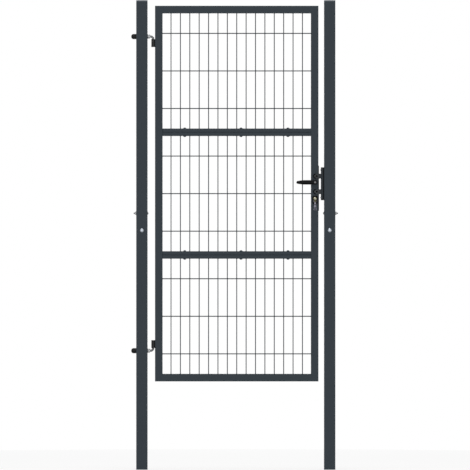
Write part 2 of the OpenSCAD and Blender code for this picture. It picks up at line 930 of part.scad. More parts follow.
hinge_post();
latch_post();
hinge_post_cap();
latch_post_cap();
upper_hinge_rod();
lower_hinge_rod();
upper_rod_nut();
lower_rod_nut();
upper_nut_cap();
lower_nut_cap();
side_bolts();
front_bolts();
keep();
stop_arms();
keep_screws();
stop_buffers();
hinge_stile();
latch_stile();
top_rail();
bottom_rail();
upper_middle_rail_top();
upper_middle_rail_bottom();
lower_middle_rail_top();
lower_middle_rail_bottom();
upper_rail_bolts();
lower_rail_bolts();
upper_mesh();
middle_mesh();
lower_mesh();
upper_hinge_barrel();
lower_hinge_barrel();
lock_case();
latch_bolt();
dead_bolt();
lock_cylinder();
front_escutcheon();
back_escutcheon();
front_rose();
back_rose();
front_lever();
back_lever();
spindle();
cylinder_plug();
key();
key_ring();
spare_keys();
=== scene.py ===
"""A garden gate of square steel tube and welded wire mesh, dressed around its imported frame.

The frame holds every size and place. Each class below models and finishes one sub-assembly of
the gate and reads where it goes from the frame's own boxes. Lengths are in metres, and MM turns
millimetres into metres. +X runs to the latch post, +Y to the back and +Z up.
"""

import json
import logging
import math
from collections.abc import Callable, Iterator, Sequence
from contextlib import contextmanager
from dataclasses import dataclass
from enum import Enum
from typing import Any, ClassVar

import bmesh
import bpy
from bpy.types import Material, Node, NodeSocket, Object
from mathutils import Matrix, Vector

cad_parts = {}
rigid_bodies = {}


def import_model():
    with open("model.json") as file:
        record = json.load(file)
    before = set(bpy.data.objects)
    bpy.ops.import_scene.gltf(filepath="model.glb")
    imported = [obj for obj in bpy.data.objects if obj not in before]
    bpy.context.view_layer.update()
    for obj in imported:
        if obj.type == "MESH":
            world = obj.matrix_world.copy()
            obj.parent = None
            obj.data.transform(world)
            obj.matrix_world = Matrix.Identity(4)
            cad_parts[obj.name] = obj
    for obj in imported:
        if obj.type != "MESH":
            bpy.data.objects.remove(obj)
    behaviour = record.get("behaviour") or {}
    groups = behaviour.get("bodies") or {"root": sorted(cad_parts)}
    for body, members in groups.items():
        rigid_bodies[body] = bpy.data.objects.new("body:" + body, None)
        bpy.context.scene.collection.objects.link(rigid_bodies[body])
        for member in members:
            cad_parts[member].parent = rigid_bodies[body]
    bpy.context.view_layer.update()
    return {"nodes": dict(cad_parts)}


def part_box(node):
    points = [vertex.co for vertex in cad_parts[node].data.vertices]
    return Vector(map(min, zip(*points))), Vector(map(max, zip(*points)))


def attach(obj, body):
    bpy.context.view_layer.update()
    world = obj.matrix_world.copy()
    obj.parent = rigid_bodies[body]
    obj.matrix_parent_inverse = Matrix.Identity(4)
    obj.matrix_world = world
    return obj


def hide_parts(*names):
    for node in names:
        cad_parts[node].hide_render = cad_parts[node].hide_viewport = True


LOG = logging.getLogger("gate")
MM = 0.001
Point = tuple[float, float]
Place = tuple[float, float, float] | Vector
Colour = tuple[float, float, float]

ALIGNED = 0.99  # least cosine between two ways that count as the same
NEAR = 0.1 * MM  # how close to a place a point counts as being there
MERGED = 0.002 * MM  # how close together two points become one
PAST = 1 * MM  # how far a cutting piece reaches past the piece that it cuts
THROUGH = 1.0  # length of a cutting piece that goes all the way through
THREAD_DEPTH = 0.6  # depth of a screw thread, as a share of its pitch
RIPPLE_STEP = 0.42  # distance between a weld's ripples, as a share of its width


def linear(red: int, green: int, blue: int) -> Colour:
    """Turns a colour in screen steps of 0 to 255 into linear light.

    Args:
        red: Red step.
        green: Green step.
        blue: Blue step.

    Returns:
        The same colour as three linear values from 0 to 1.
    """
    steps = (red / 255, green / 255, blue / 255)
    return tuple(c / 12.92 if c <= 0.04045 else ((c + 0.055) / 1.055) ** 2.4 for c in steps)


# ---------------------------------------------------------------- modelling moves


class Turn(Enum):
    """The ways in which a piece modelled along +Z can be turned."""

    UP = (0.0, 0.0, 0.0)
    DOWN = (math.pi, 0.0, 0.0)
    LEFT = (0.0, -math.pi / 2, 0.0)
    RIGHT = (0.0, math.pi / 2, 0.0)
    FRONT = (math.pi / 2, 0.0, 0.0)
    BACK = (-math.pi / 2, 0.0, 0.0)


class Element(Enum):
    """What is picked in edit mode."""

    VERTS = (True, False, False)
    EDGES = (False, True, False)
    FACES = (False, False, True)


@dataclass(frozen=True)
class Box:
    """The box of one frame node at rest."""

    lo: Vector
    hi: Vector

    @classmethod
    def of(cls, node: str) -> "Box":
        """Reads the box of a frame node by its name."""
        return cls(*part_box(node))

    @property
    def mid(self) -> Vector:
        """The middle of the box."""
        return (self.lo + self.hi) / 2

    @property
    def size(self) -> Vector:
        """The three sides of the box."""
        return self.hi - self.lo


def select_only(*objects: Object) -> None:
    """Selects the given objects and nothing else, and makes the first one active.

    Args:
        objects: The objects to select.
    """
    bpy.ops.object.select_all(action="DESELECT")
    for obj in objects:
        obj.select_set(True)
    bpy.context.view_layer.objects.active = objects[0]


def settle(obj: Object) -> Object:
    """Puts a piece's place, turn and scale into its mesh, its object left at the origin.

    Args:
        obj: The piece.

    Returns:
        The same piece.
    """
    select_only(obj)
    bpy.ops.object.transform_apply(location=True, rotation=True, scale=True)
    return obj


def start(kind: str, name: str, **settings: Any) -> Object:
    """Adds a mesh primitive at its size and place.

    Args:
        kind: The primitive's name, such as cube or cylinder.
        name: The new object's name.
        settings: What the primitive's operator takes.

    Returns:
        The new object, the only one selected.
    """
    bpy.ops.object.select_all(action="DESELECT")
    getattr(bpy.ops.mesh, f"primitive_{kind}_add")(**settings)
    obj = bpy.context.active_object
    obj.name = obj.data.name = name
    return settle(obj)


def place(obj: Object, at: Place = (0, 0, 0), turn: Turn = Turn.UP) -> Object:
    """Turns and moves a piece.

    Args:
        obj: The piece.
        at: Where its own origin goes.
        turn: How it is turned before it is moved.

    Returns:
        The same piece, its object at the origin.
    """
    obj.rotation_euler = turn.value
    obj.location = Vector(at)
    return settle(obj)


@contextmanager
def editing(obj: Object, everything: bool = False) -> Iterator[None]:
    """Opens a piece in edit mode and closes it again.

    Args:
        obj: The piece.
        everything: Whether all of it starts selected, and not nothing.

    Yields:
        Nothing.
    """
    select_only(obj)
    bpy.context.tool_settings.mesh_select_mode = Element.VERTS.value
    bpy.ops.object.mode_set(mode="EDIT")
    bpy.ops.mesh.select_all(action="SELECT" if everything else "DESELECT")
    yield
    bpy.ops.object.mode_set(mode="OBJECT")


def pick(obj: Object, element: Element, test: Callable[[Any], bool]) -> None:
    """Selects by their place or direction what passes a test, in edit mode.

    Args:
        obj: The piece that is being edited.
        element: Whether vertices, edges or faces are picked.
        test: Says of one vertex, edge or face whether it is wanted.
    """
    bpy.context.tool_settings.mesh_select_mode = element.value
    mesh = bmesh.from_edit_mesh(obj.data)
    for item in getattr(mesh, element.name.lower()):
        item.select_set(test(item))
    mesh.select_flush_mode()
    bmesh.update_edit_mesh(obj.data)


def extrude(x: float = 0, z: float = 0) -> None:
    """Extrudes what is selected in edit mode along X and Z."""
    bpy.ops.mesh.extrude_region_move(TRANSFORM_OT_translate={"value": (x, 0, z)})


def stretch(factors: Place, centre: Place) -> None:
    """Scales what is selected in edit mode about a point."""
    bpy.ops.transform.resize(value=factors, center_override=centre)


def runs_along(axis: int) -> Callable[[Any], bool]:
    """Makes a test for edges that run along one axis.

    Args:
        axis: 0, 1 or 2 for X, Y or Z.

    Returns:
        The test.
    """
    return lambda edge: abs((edge.verts[1].co - edge.verts[0].co).normalized()[axis]) > ALIGNED


def faces_along(axis: int, sign: int) -> Callable[[Any], bool]:
    """Makes a test for faces that look along one axis.

    Args:
        axis: 0, 1 or 2 for X, Y or Z.
        sign: 1 for the positive way and -1 for the negative way.

    Returns:
        The test.
    """
    return lambda face: face.normal[axis] * sign > ALIGNED


def modify(obj: Object, kind: str, **settings: Any) -> Object:
    """Adds a modifier to a piece and applies it.

    Args:
        obj: The piece.
        kind: The modifier's type.
        settings: The modifier's own settings.

    Returns:
        The same piece.
    """
    select_only(obj)
    modifier = obj.modifiers.new(kind.lower(), kind)
    for key, value in settings.items():
        setattr(modifier, key, value)
    bpy.ops.object.modifier_apply(modifier=modifier.name)
    return obj


def soften(obj: Object, width: float, segments: int = 2, angle: float = 40) -> Object:
    """Rounds the sharp edges of a piece.

    Args:
        obj: The piece.
        width: Width of the rounding.
        segments: Steps in the rounding.
        angle: Least angle, in degrees, of an edge that is rounded.

    Returns:
        The same piece.
    """
    return modify(obj, "BEVEL", width=width, segments=segments, limit_method="ANGLE",
                  angle_limit=math.radians(angle), harden_normals=False)


def rowed(obj: Object, count: int, step: Place) -> Object:
    """Repeats a piece in a row.

    Args:
        obj: The piece.
        count: How many there are in the row.
        step: The way from one to the next.

    Returns:
        The same piece, repeated.
    """
    return modify(obj, "ARRAY", count=count, use_relative_offset=False,
                  use_constant_offset=True, constant_offset_displace=step)


def carve(obj: Object, tool: Object, operation: str = "DIFFERENCE") -> Object:
    """Cuts, joins or limits a piece with another one, which is used up.

    Args:
        obj: The piece.
        tool: The piece that acts on it.
        operation: The boolean operation.

    Returns:
        The first piece.
    """
    modify(obj, "BOOLEAN", operation=operation, object=tool, solver="EXACT")
    bpy.data.objects.remove(tool)
    return obj


def joined(name: str, *objects: Object) -> Object:
    """Joins pieces into one object.

    Args:
        name: The joined object's name.
        objects: The pieces.

    Returns:
        The joined object.
    """
    select_only(*objects)
    bpy.ops.object.join()
    objects[0].name = objects[0].data.name = name
    return objects[0]


def copied(obj: Object, name: str, shift: Place = (0, 0, 0), scale: Place = (1, 1, 1),
           tilt: float = 0.0) -> Object:
    """Copies a piece with a mesh of its own, then scales, tilts and moves the copy.

    Args:
        obj: The piece.
        name: The copy's name.
        shift: How far the copy is moved.
        scale: Scale along each axis, -1 to mirror.
        tilt: Turn about the Y axis in radians.

    Returns:
        The copy.
    """
    twin = obj.copy()
    twin.data = obj.data.copy()
    twin.name = twin.data.name = name
    bpy.context.scene.collection.objects.link(twin)
    twin.scale = scale
    twin.rotation_euler = (0.0, tilt, 0.0)
    twin.location = Vector(shift)
    settle(twin)
    return tidy_mesh(twin) if min(scale) < 0 else twin


def paired(name: str, obj: Object, shift: Place) -> Object:
    """Joins a piece with a copy of itself that stands some way off."""
    return joined(name, obj, copied(obj, f"{name}_twin", shift))


def tidy_mesh(obj: Object) -> Object:
    """Merges the doubles of a closed piece and turns its faces outward.

    Args:
        obj: The piece.

    Returns:
        The same piece.
    """
    with editing(obj, everything=True):
        bpy.ops.mesh.remove_doubles(threshold=MERGED)
        bpy.ops.mesh.normals_make_consistent(inside=False)
    return obj


def arc(middle: Point, radius: float, first: float, last: float, steps: int = 5) -> list[Point]:
    """Gives points along a circular arc of an outline.

    Args:
        middle: The arc's middle.
        radius: Its radius.
        first: The angle in degrees at which it starts.
        last: The angle in degrees at which it ends.
        steps: How many stretches it has.

    Returns:
        The points, both ends among them.
    """
    angles = (math.radians(first + (last - first) * i / steps) for i in range(steps + 1))
    return [(middle[0] + radius * math.cos(a), middle[1] + radius * math.sin(a)) for a in angles]


def turned(name: str, outline: Sequence[Point], at: Place = (0, 0, 0), turn: Turn = Turn.UP,
           steps: int = 32) -> Object:
    """Spins an outline round its axis, as on a lathe.

    Args:
        name: The piece's name.
        outline: Points of radius and height. It starts and ends on the axis, or else is closed.
        at: Where the axis's zero goes.
        turn: Which way the heights run.
        steps: Steps round the axis.

    Returns:
        The closed piece.
    """
    points = list(outline)
    if points[0][0] > 0:
        points.append(points[0])
    obj = start("plane", name, size=MM)
    with editing(obj, everything=True):
        bpy.ops.mesh.merge(type="CENTER")
        bpy.ops.transform.translate(value=(points[0][0], 0, points[0][1]))
        for (r0, h0), (r1, h1) in zip(points, points[1:]):
            extrude(x=r1 - r0, z=h1 - h0)
        bpy.ops.mesh.select_all(action="SELECT")
        bpy.ops.mesh.spin(steps=steps, angle=math.tau, center=(0, 0, 0), axis=(0, 0, 1))
    return place(tidy_mesh(obj), at, turn)


def lofted(name: str, sections: Sequence[tuple[float, float, float]], at: Place,
           turn: Turn) -> Object:
    """Draws a bar through oval sections by extruding and scaling a disc.

    Args:
        name: The piece's name.
        sections: The height, half width and half depth of each section.
        at: Where the bar's zero goes.
        turn: Which way the heights run.

    Returns:
        The closed bar.
    """
    height, width, depth = sections[0]
    obj = start("circle", name, vertices=32, radius=1, fill_type="NGON")
    with editing(obj, everything=True):
        stretch((width, depth, 1), (0, 0, 0))
        bpy.ops.transform.translate(value=(0, 0, height))
        for low, high in zip(sections, sections[1:]):
            extrude(z=high[0] - low[0])
            stretch((high[1] / low[1], high[2] / low[2], 1), (0, 0, high[0]))
    return place(tidy_mesh(obj), at, turn)


def block(name: str, lo: Place, hi: Place, corner: float = 0.0, along: int = 2,
          edge: float = 0.0) -> Object:
    """Makes a block between two corners, with rounded corners and edges.

    Args:
        name: The piece's name.
        lo: Its lowest corner.
        hi: Its highest corner.
        corner: Radius of the four edges that run along one axis.
        along: That axis, 0, 1 or 2.
        edge: Width of the rounding of all other edges.

    Returns:
        The block.
    """
    lo, hi = Vector(lo), Vector(hi)
    obj = start("cube", name, size=1, location=(lo + hi) / 2, scale=hi - lo)
    if corner:
        with editing(obj):
            pick(obj, Element.EDGES, runs_along(along))
            bpy.ops.mesh.bevel(offset=corner, segments=6, affect="EDGES")
    return soften(obj, edge) if edge else obj


def round_bar(name: str, radius: float, length: float, at: Place = (0, 0, 0),
              turn: Turn = Turn.UP, sides: int = 32) -> Object:
    """Makes a plain bar to join, cut or cut with, round or with a few flat sides.

    Args:
        name: The bar's name.
        radius: Its radius, out to its corners.
        length: Its length.
        at: Where its middle goes.
        turn: Which way it lies.
        sides: How many sides it has.

    Returns:
        The bar.
    """
    return place(start("cylinder", name, vertices=sides, radius=radius, depth=length), at, turn)


def hex_nut(name: str, across: float, height: float, bore: float, at: Place, turn: Turn) -> Object:
    """Makes a hexagonal nut with chamfered corners and a countersunk bore.

    Args:
        name: The nut's name.
        across: Its size across the flats.
        height: Its height.
        bore: Radius of its bore.
        at: The middle of its lower face.
        turn: Which way it stands.

    Returns:
        The nut.
    """
    corner, flat = across / math.sqrt(3), across / 2
    chamfer = (corner - flat) * 0.62
    land, outside, sink = flat * 0.96, corner * 1.02, 0.5 * MM
    nut = start("cylinder", name, vertices=6, radius=corner, depth=height,
                location=(0, 0, height / 2), rotation=(0, 0, math.radians(30)))
    limit = turned("limit", [
        (bore + sink, 0), (land, 0), (outside, chamfer), (outside, height - chamfer),
        (land, height), (bore + sink, height), (bore, height - sink), (bore, sink),
    ], steps=48)
    return place(carve(nut, limit, "INTERSECT"), at, turn)


def washer(name: str, radius: float, thickness: float, bore: float, at: Place,
           turn: Turn) -> Object:
    """Makes a flat washer with rounded rims.

    Args:
        name: The washer's name.
        radius: Its outer radius.
        thickness: Its thickness.
        bore: Radius of its hole.
        at: The middle of its lower face.
        turn: Which way it stands.

    Returns:
        The washer.
    """
    rim = 0.25 * thickness
    return turned(name, [
        (bore, 0), (radius - rim, 0), (radius, rim), (radius, thickness - rim),
        (radius - rim, thickness), (bore, thickness),
    ], at, turn, steps=40)


def thread_root(radius: float, pitch: float) -> float:
    """Gives the radius at the bottom of a screw thread."""
    return radius - THREAD_DEPTH * pitch


def thread(name: str, radius: float, pitch: float, length: float, at: Place,
           turn: Turn) -> Object:
    """Makes a stretch of screw thread with a chamfered end.

    Args:
        name: The piece's name.
        radius: Outer radius of the thread.
        pitch: The distance from turn to turn.
        length: Length of the stretch.
        at: Where it starts.
        turn: Which way it runs.

    Returns:
        The threaded stretch.
    """
    root = thread_root(radius, pitch)
    ridge_r, ridge_out = 0.66 * pitch, 0.04 * pitch
    ridge = start("circle", name, vertices=3, radius=ridge_r,
                  location=(root + ridge_out, 0, -pitch), rotation=(math.pi / 2, math.pi / 2, 0))
    modify(ridge, "SCREW", axis="Z", angle=math.tau, steps=20, render_steps=20,
           screw_offset=pitch, iterations=math.ceil(length / pitch) + 2, use_merge_vertices=True)
    tidy_mesh(ridge)
    with editing(ridge):
        bpy.ops.mesh.select_non_manifold()
        bpy.ops.mesh.fill_holes(sides=4)
    for height, side in ((0.0, -1), (length, 1)):
        with editing(ridge, everything=True):
            bpy.ops.mesh.bisect(plane_co=(0, 0, height), plane_no=(0, 0, side), use_fill=True,
                                clear_outer=True)
    core_r, taper = root + 0.1 * pitch, 0.3 * pitch
    core = turned(name, [(0, 0), (core_r, 0), (core_r, length - taper), (root - taper, length),
                         (0, length)], steps=24)
    return place(joined(name, core, ridge), at, turn)


def bead(name: str, first: Place, last: Place, width: float) -> Object:
    """Lays a weld bead of overlapping ripples along a straight joint.

    Args:
        name: The bead's name.
        first: Where the bead starts.
        last: Where it ends, along X, Y or Z from its start.
        width: Width of the bead.

    Returns:
        The bead.
    """
    first, last = Vector(first), Vector(last)
    way = last - first
    count = max(2, round(way.length / (RIPPLE_STEP * width)))
    ripple = start("ico_sphere", name, subdivisions=2, radius=width / 2, location=first)
    return rowed(ripple, count, way / (count - 1))


def dome(radius: float, height: float, flange: float) -> list[Point]:
    """Gives the outline of a domed bolt head on a thin flange.

    Args:
        radius: Radius of the head.
        height: Height of the head.
        flange: Height of the upright rim below the dome.

    Returns:
        The outline from the axis below to the axis above.
    """
    rise = height - flange
    sphere = (rise ** 2 + radius ** 2) / (2 * rise)
    edge = math.degrees(math.asin((sphere - rise) / sphere))
    return [(0, 0), (radius, 0)] + arc((0, height - sphere), sphere, edge, 90, 7)


# ---------------------------------------------------------------- shader building


class Value:
    """A shader number that takes part in Python arithmetic."""

    def __init__(self, graph: "Graph", socket: NodeSocket) -> None:
        """Keeps the socket and the graph that new Math nodes go into."""
        self.graph = graph
        self.socket = socket

    def _maths(self, operation: str, first: Any, second: Any) -> "Value":
        """Adds one Math node.

        Args:
            operation: What it does.
            first: Its first number.
            second: Its second number.

        Returns:
            Its result.
        """
        node = self.graph.node("ShaderNodeMath", {"operation": operation}, {0: first, 1: second})
        return Value(self.graph, node.outputs[0])

    def __add__(self, other: Any) -> "Value":
        """Gives self + other."""
        return self._maths("ADD", self, other)

    def __radd__(self, other: Any) -> "Value":
        """Gives other + self."""
        return self._maths("ADD", other, self)

    def __sub__(self, other: Any) -> "Value":
        """Gives self - other."""
        return self._maths("SUBTRACT", self, other)

    def __rsub__(self, other: Any) -> "Value":
        """Gives other - self."""
        return self._maths("SUBTRACT", other, self)

    def __mul__(self, other: Any) -> "Value":
        """Gives self * other."""
        return self._maths("MULTIPLY", self, other)

    def __rmul__(self, other: Any) -> "Value":
        """Gives other * self."""
        return self._maths("MULTIPLY", other, self)


class Graph:
    """The node tree of one material or world."""

    def __init__(self, tree: bpy.types.NodeTree) -> None:
        """Takes a node tree and empties it."""
        self.tree = tree
        tree.nodes.clear()

    def node(self, kind: str, settings: dict[str, Any] | None = None,
             inputs: dict[str | int, Any] | None = None) -> Node:
        """Adds a node, sets its properties and then feeds its sockets.

        Args:
            kind: The node's type.
            settings: Its properties. The key stops holds a ramp's positions and greys.
            inputs: Numbers, colours, values or sockets, by the input's name or number.

        Returns:
            The node.
        """
        node = self.tree.nodes.new(kind)
        for key, value in (settings or {}).items():
            if key == "stops":
                for mark, (position, grey) in zip(node.color_ramp.elements, value):
                    mark.position = position
                    mark.color = (grey, grey, grey, 1)
            else:
                setattr(node, key, value)
        for key, value in (inputs or {}).items():
            if isinstance(value, Value):
                value = value.socket
            if isinstance(value, NodeSocket):
                self.tree.links.new(value, node.inputs[key])
            else:
                node.inputs[key].default_value = value
        return node

    def place(self, scale: Place = (1, 1, 1)) -> NodeSocket:
        """Gives the place on the object, stretched along its axes.

        Args:
            scale: The stretch along each axis.

        Returns:
            The place as a vector socket.
        """
        coordinates = self.node("ShaderNodeTexCoord").outputs["Object"]
        inputs = {"Vector": coordinates, "Scale": scale}
        return self.node("ShaderNodeMapping", None, inputs).outputs[0]

    def noise(self, scale: float, detail: float = 2, roughness: float = 0.5,
              stretch: Place = (1, 1, 1)) -> Value:
        """Adds soft noise.

        Args:
            scale: Waves in a metre.
            detail: Number of finer layers.
            roughness: How strong the finer layers are.
            stretch: Stretch along each axis.

        Returns:
            A value round 0.5.
        """
        inputs = {"Vector": self.place(stretch), "Scale": scale, "Detail": detail,
                  "Roughness": roughness}
        return Value(self, self.node("ShaderNodeTexNoise", None, inputs).outputs[0])

    def grey(self, colour: NodeSocket) -> Value:
        """Gives the level of a grey, or of a colour's red, as a number."""
        return Value(self, self.node("ShaderNodeSeparateColor", None, {0: colour}).outputs[0])

    def cells(self, scale: float) -> Value:
        """Adds a random grey for each of many small cells.

        Args:
            scale: Cells in a metre.

        Returns:
            A value from 0 to 1 that is the same all over a cell.
        """
        inputs = {"Vector": self.place(), "Scale": scale}
        return self.grey(self.node("ShaderNodeTexVoronoi", None, inputs).outputs["Color"])

    def ramp(self, value: Value, low: float, high: float) -> Value:
        """Stretches a value so that it runs from 0 at low to 1 at high.

        Args:
            value: The value.
            low: What becomes 0.
            high: What becomes 1.

        Returns:
            The stretched value.
        """
        node = self.node("ShaderNodeValToRGB", {"stops": ((low, 0.0), (high, 1.0))}, {0: value})
        return self.grey(node.outputs[0])

    def blend(self, factor: Value, first: Any, second: Any) -> NodeSocket:
        """Mixes two colours.

        Args:
            factor: 0 for the first and 1 for the second.
            first: The first colour.
            second: The second colour.

        Returns:
            The mixed colour's socket.
        """
        inputs = {0: factor, 6: with_alpha(first), 7: with_alpha(second)}
        return self.node("ShaderNodeMix", {"data_type": "RGBA"}, inputs).outputs[2]

    def bump(self, height: Value, depth: float) -> NodeSocket:
        """Turns a height into a bent normal.

        Args:
            height: The height, from 0 to 1.
            depth: What a height of 1 stands for, in metres.

        Returns:
            The normal's socket.
        """
        inputs = {"Height": height, "Distance": depth, "Strength": 1.0}
        return self.node("ShaderNodeBump", None, inputs).outputs[0]


def with_alpha(colour: Any) -> Any:
    """Adds full alpha to a plain colour, and passes a socket on."""
    return (*colour, 1.0) if isinstance(colour, tuple) else colour


def shaded(colour: Colour, factor: float) -> Colour:
    """Makes a colour lighter or darker by a factor."""
    return tuple(min(1.0, c * factor) for c in colour)


def swing(value: Value, amount: float) -> Value:
    """Makes a value that runs round 0.5 run round 0, over the given amount."""
    return (value - 0.5) * amount


@dataclass(frozen=True)
class Finish:
    """What all finishes share: a name, a colour and plain numbers for the shader."""

    name: str
    colour: Colour
    roughness: float
    specular: float
    metallic: ClassVar[float] = 0.0
    tone_range: ClassVar[Point] = (0.9, 1.1)

    def material(self) -> Material:
        """Builds the material.

        Returns:
            The finished material.
        """
        material = bpy.data.materials.new(self.name)
        material.use_nodes = True
        graph = Graph(material.node_tree)
        colour, roughness, normal = self.surface(graph)
        shader = graph.node("ShaderNodeBsdfPrincipled", None, {
            "Base Color": with_alpha(colour), "Roughness": roughness, "Normal": normal,
            "Metallic": self.metallic, "Specular IOR Level": self.specular,
        })
        graph.node("ShaderNodeOutputMaterial", None, {"Surface": shader.outputs[0]})
        return material

    def tones(self, graph: Graph, share: Value) -> NodeSocket:
        """Runs the finish's colour from its dark tone at 0 to its light tone at 1."""
        return graph.blend(share, *(shaded(self.colour, factor) for factor in self.tone_range))

    def surface(self, graph: Graph) -> tuple[Any, Any, NodeSocket]:
        """Draws what changes over the surface.

        Args:
            graph: The material's node graph.

        Returns:
            The colour, the roughness and the normal.
        """
        raise NotImplementedError


@dataclass(frozen=True)
class PowderCoat(Finish):
    """Baked powder paint: an even colour with fine orange peel and a trace of dust."""

    peel_scale: float = 850
    peel_depth: float = 0.03 * MM
    peel_gloss: ClassVar[float] = 0.08
    tone_range: ClassVar[Point] = (0.93, 1.07)
    cloud_scale: ClassVar[float] = 7
    cloud_gloss: ClassVar[float] = 0.12
    speck_scale: ClassVar[float] = 2600
    speck_range: ClassVar[Point] = (0.66, 0.8)
    speck_share: ClassVar[float] = 0.35
    speck_tone: ClassVar[float] = 1.6
    speck_height: ClassVar[float] = 0.25

    def surface(self, graph: Graph) -> tuple[Any, Any, NodeSocket]:
        """Draws soft clouds of tone, fine peel and single specks.

        Args:
            graph: The material's node graph.

        Returns:
            The colour, the roughness and the normal.
        """
        clouds = graph.noise(self.cloud_scale, 3, 0.6)
        specks = graph.ramp(graph.noise(self.speck_scale, 1), *self.speck_range)
        peel = graph.noise(self.peel_scale, 2, 0.45)
        colour = graph.blend(specks * self.speck_share, self.tones(graph, clouds),
                             shaded(self.colour, self.speck_tone))
        roughness = self.roughness + swing(clouds, self.cloud_gloss) + swing(peel, self.peel_gloss)
        return colour, roughness, graph.bump(peel + specks * self.speck_height, self.peel_depth)


@dataclass(frozen=True)
class MouldedPlastic(Finish):
    """Moulded plastic with a fine eroded grain."""

    grain_scale: float = 1500
    grain_depth: ClassVar[float] = 0.05 * MM
    grain_gloss: ClassVar[float] = 0.14
    tone_range: ClassVar[Point] = (0.88, 1.14)
    drift_scale: ClassVar[float] = 30
    drift_gloss: ClassVar[float] = 0.1

    def surface(self, graph: Graph) -> tuple[Any, Any, NodeSocket]:
        """Draws the mould's grain and slow drifts of gloss.

        Args:
            graph: The material's node graph.

        Returns:
            The colour, the roughness and the normal.
        """
        grain = graph.noise(self.grain_scale, 3, 0.6)
        drift = graph.noise(self.drift_scale, 2)
        roughness = self.roughness + swing(drift, self.drift_gloss) + swing(grain, self.grain_gloss)
        return self.tones(graph, drift), roughness, graph.bump(grain, self.grain_depth)


@dataclass(frozen=True)
class PlatedSteel(Finish):
    """Zinc plated steel: small spangles of tone, and fine wear."""

    spangle_scale: float = 420
    spangle_gloss: ClassVar[float] = 0.1
    metallic: ClassVar[float] = 1.0
    blotch_scale: ClassVar[float] = 90
    blotch_range: ClassVar[Point] = (0.4, 0.68)
    blotch_share: ClassVar[float] = 0.5
    blotch_tone: ClassVar[float] = 0.72
    blotch_gloss: ClassVar[float] = 0.14
    pit_scale: ClassVar[float] = 2400
    pit_depth: ClassVar[float] = 0.012 * MM

    def surface(self, graph: Graph) -> tuple[Any, Any, NodeSocket]:
        """Draws spangles, dull blotches and a fine pitted grain.

        Args:
            graph: The material's node graph.

        Returns:
            The colour, the roughness and the normal.
        """
        spangle = graph.cells(self.spangle_scale)
        blotch = graph.ramp(graph.noise(self.blotch_scale, 4, 0.65), *self.blotch_range)
        pits = graph.noise(self.pit_scale, 3, 0.6)
        colour = graph.blend(blotch * self.blotch_share, self.tones(graph, spangle),
                             shaded(self.colour, self.blotch_tone))
        roughness = self.roughness + blotch * self.blotch_gloss + swing(spangle, self.spangle_gloss)
        return colour, roughness, graph.bump(pits, self.pit_depth)


@dataclass(frozen=True)
class BrushedMetal(Finish):
    """Brass or nickel with fine lines from turning and milling."""

    line_stretch: Place = (1.0, 0.03, 1.0)
    metallic: ClassVar[float] = 1.0
    line_scale: ClassVar[float] = 3600
    line_depth: ClassVar[float] = 0.01 * MM
    line_gloss: ClassVar[float] = 0.12
    tarnish_scale: ClassVar[float] = 160
    tarnish_range: ClassVar[Point] = (0.42, 0.7)
    tarnish_share: ClassVar[float] = 0.45
    tarnish_tone: ClassVar[float] = 0.6
    tarnish_gloss: ClassVar[float] = 0.16

    def surface(self, graph: Graph) -> tuple[Any, Any, NodeSocket]:
        """Draws fine lines along one axis and a light tarnish.

        Args:
            graph: The material's node graph.

        Returns:
            The colour, the roughness and the normal.
        """
        lines = graph.noise(self.line_scale, 2, 0.6, self.line_stretch)
        tarnish = graph.ramp(graph.noise(self.tarnish_scale, 4, 0.6), *self.tarnish_range)
        colour = graph.blend(tarnish * self.tarnish_share, self.tones(graph, lines),
                             shaded(self.colour, self.tarnish_tone))
        roughness = self.roughness + tarnish * self.tarnish_gloss + swing(lines, self.line_gloss)
        return colour, roughness, graph.bump(lines, self.line_depth)


class Finishes:
    """The gate's finishes, each made into a material once."""

    def __init__(self) -> None:
        """Builds every material."""
        self.paint = PowderCoat("anthracite_powder_coat", linear(49, 56, 62), 0.5, 0.1).material()
        # Partly painted light: the caps' own grey plastic is lightened so that their rims show the
        # light that falls from above.
        self.cap = MouldedPlastic("grey_cap_plastic_with_painted_light", linear(82, 89, 95), 0.5, 0.15).material()
        self.plastic = MouldedPlastic("black_grained_plastic", linear(6, 6, 7), 0.5,
                                      0.04).material()
        self.nut_cap = MouldedPlastic("black_nut_cap_plastic", linear(5, 5, 6), 0.4,
                                      0.15).material()
        self.keep = PowderCoat("dark_keep_coat", linear(43, 47, 51), 0.55, 0.08, 700).material()
        self.lever = PowderCoat("satin_black_coat", linear(5, 5, 6), 0.32, 0.07, 1100,
                                0.02 * MM).material()
        self.barrel = PowderCoat("black_steel_coat", linear(10, 11, 13), 0.36, 0.25).material()
        self.arm = PowderCoat("grey_cast_coat", linear(52, 55, 58), 0.5, 0.12, 600).material()
        self.rod = PlatedSteel("galvanised_rod", (0.17, 0.175, 0.18), 0.5, 0.5, 260).material()
        self.nut = PlatedSteel("zinc_nut", (0.3, 0.305, 0.31), 0.42, 0.5).material()
        self.bolt = PlatedSteel("bright_zinc_bolt", (0.36, 0.39, 0.43), 0.34, 0.5, 700).material()
        # Painted shade: the cylinder's brass is a darker copy of the plug's brass, standing in for
        # the shade inside the escutcheon.
        self.brass = BrushedMetal("shaded_satin_brass", (0.07, 0.066, 0.034), 0.42, 0.5).material()
        self.plug = BrushedMetal("bright_brass", (0.34, 0.33, 0.2), 0.34, 0.5).material()
        self.button = BrushedMetal("dark_nickel", (0.11, 0.11, 0.115), 0.4, 0.5).material()
        self.nickel = BrushedMetal("milled_nickel", (0.3, 0.29, 0.34), 0.36, 0.5,
                                   (1.0, 1.0, 0.04)).material()
        self.rubber = MouldedPlastic("buffer_rubber", linear(3, 3, 3), 0.8, 0.03, 900).material()


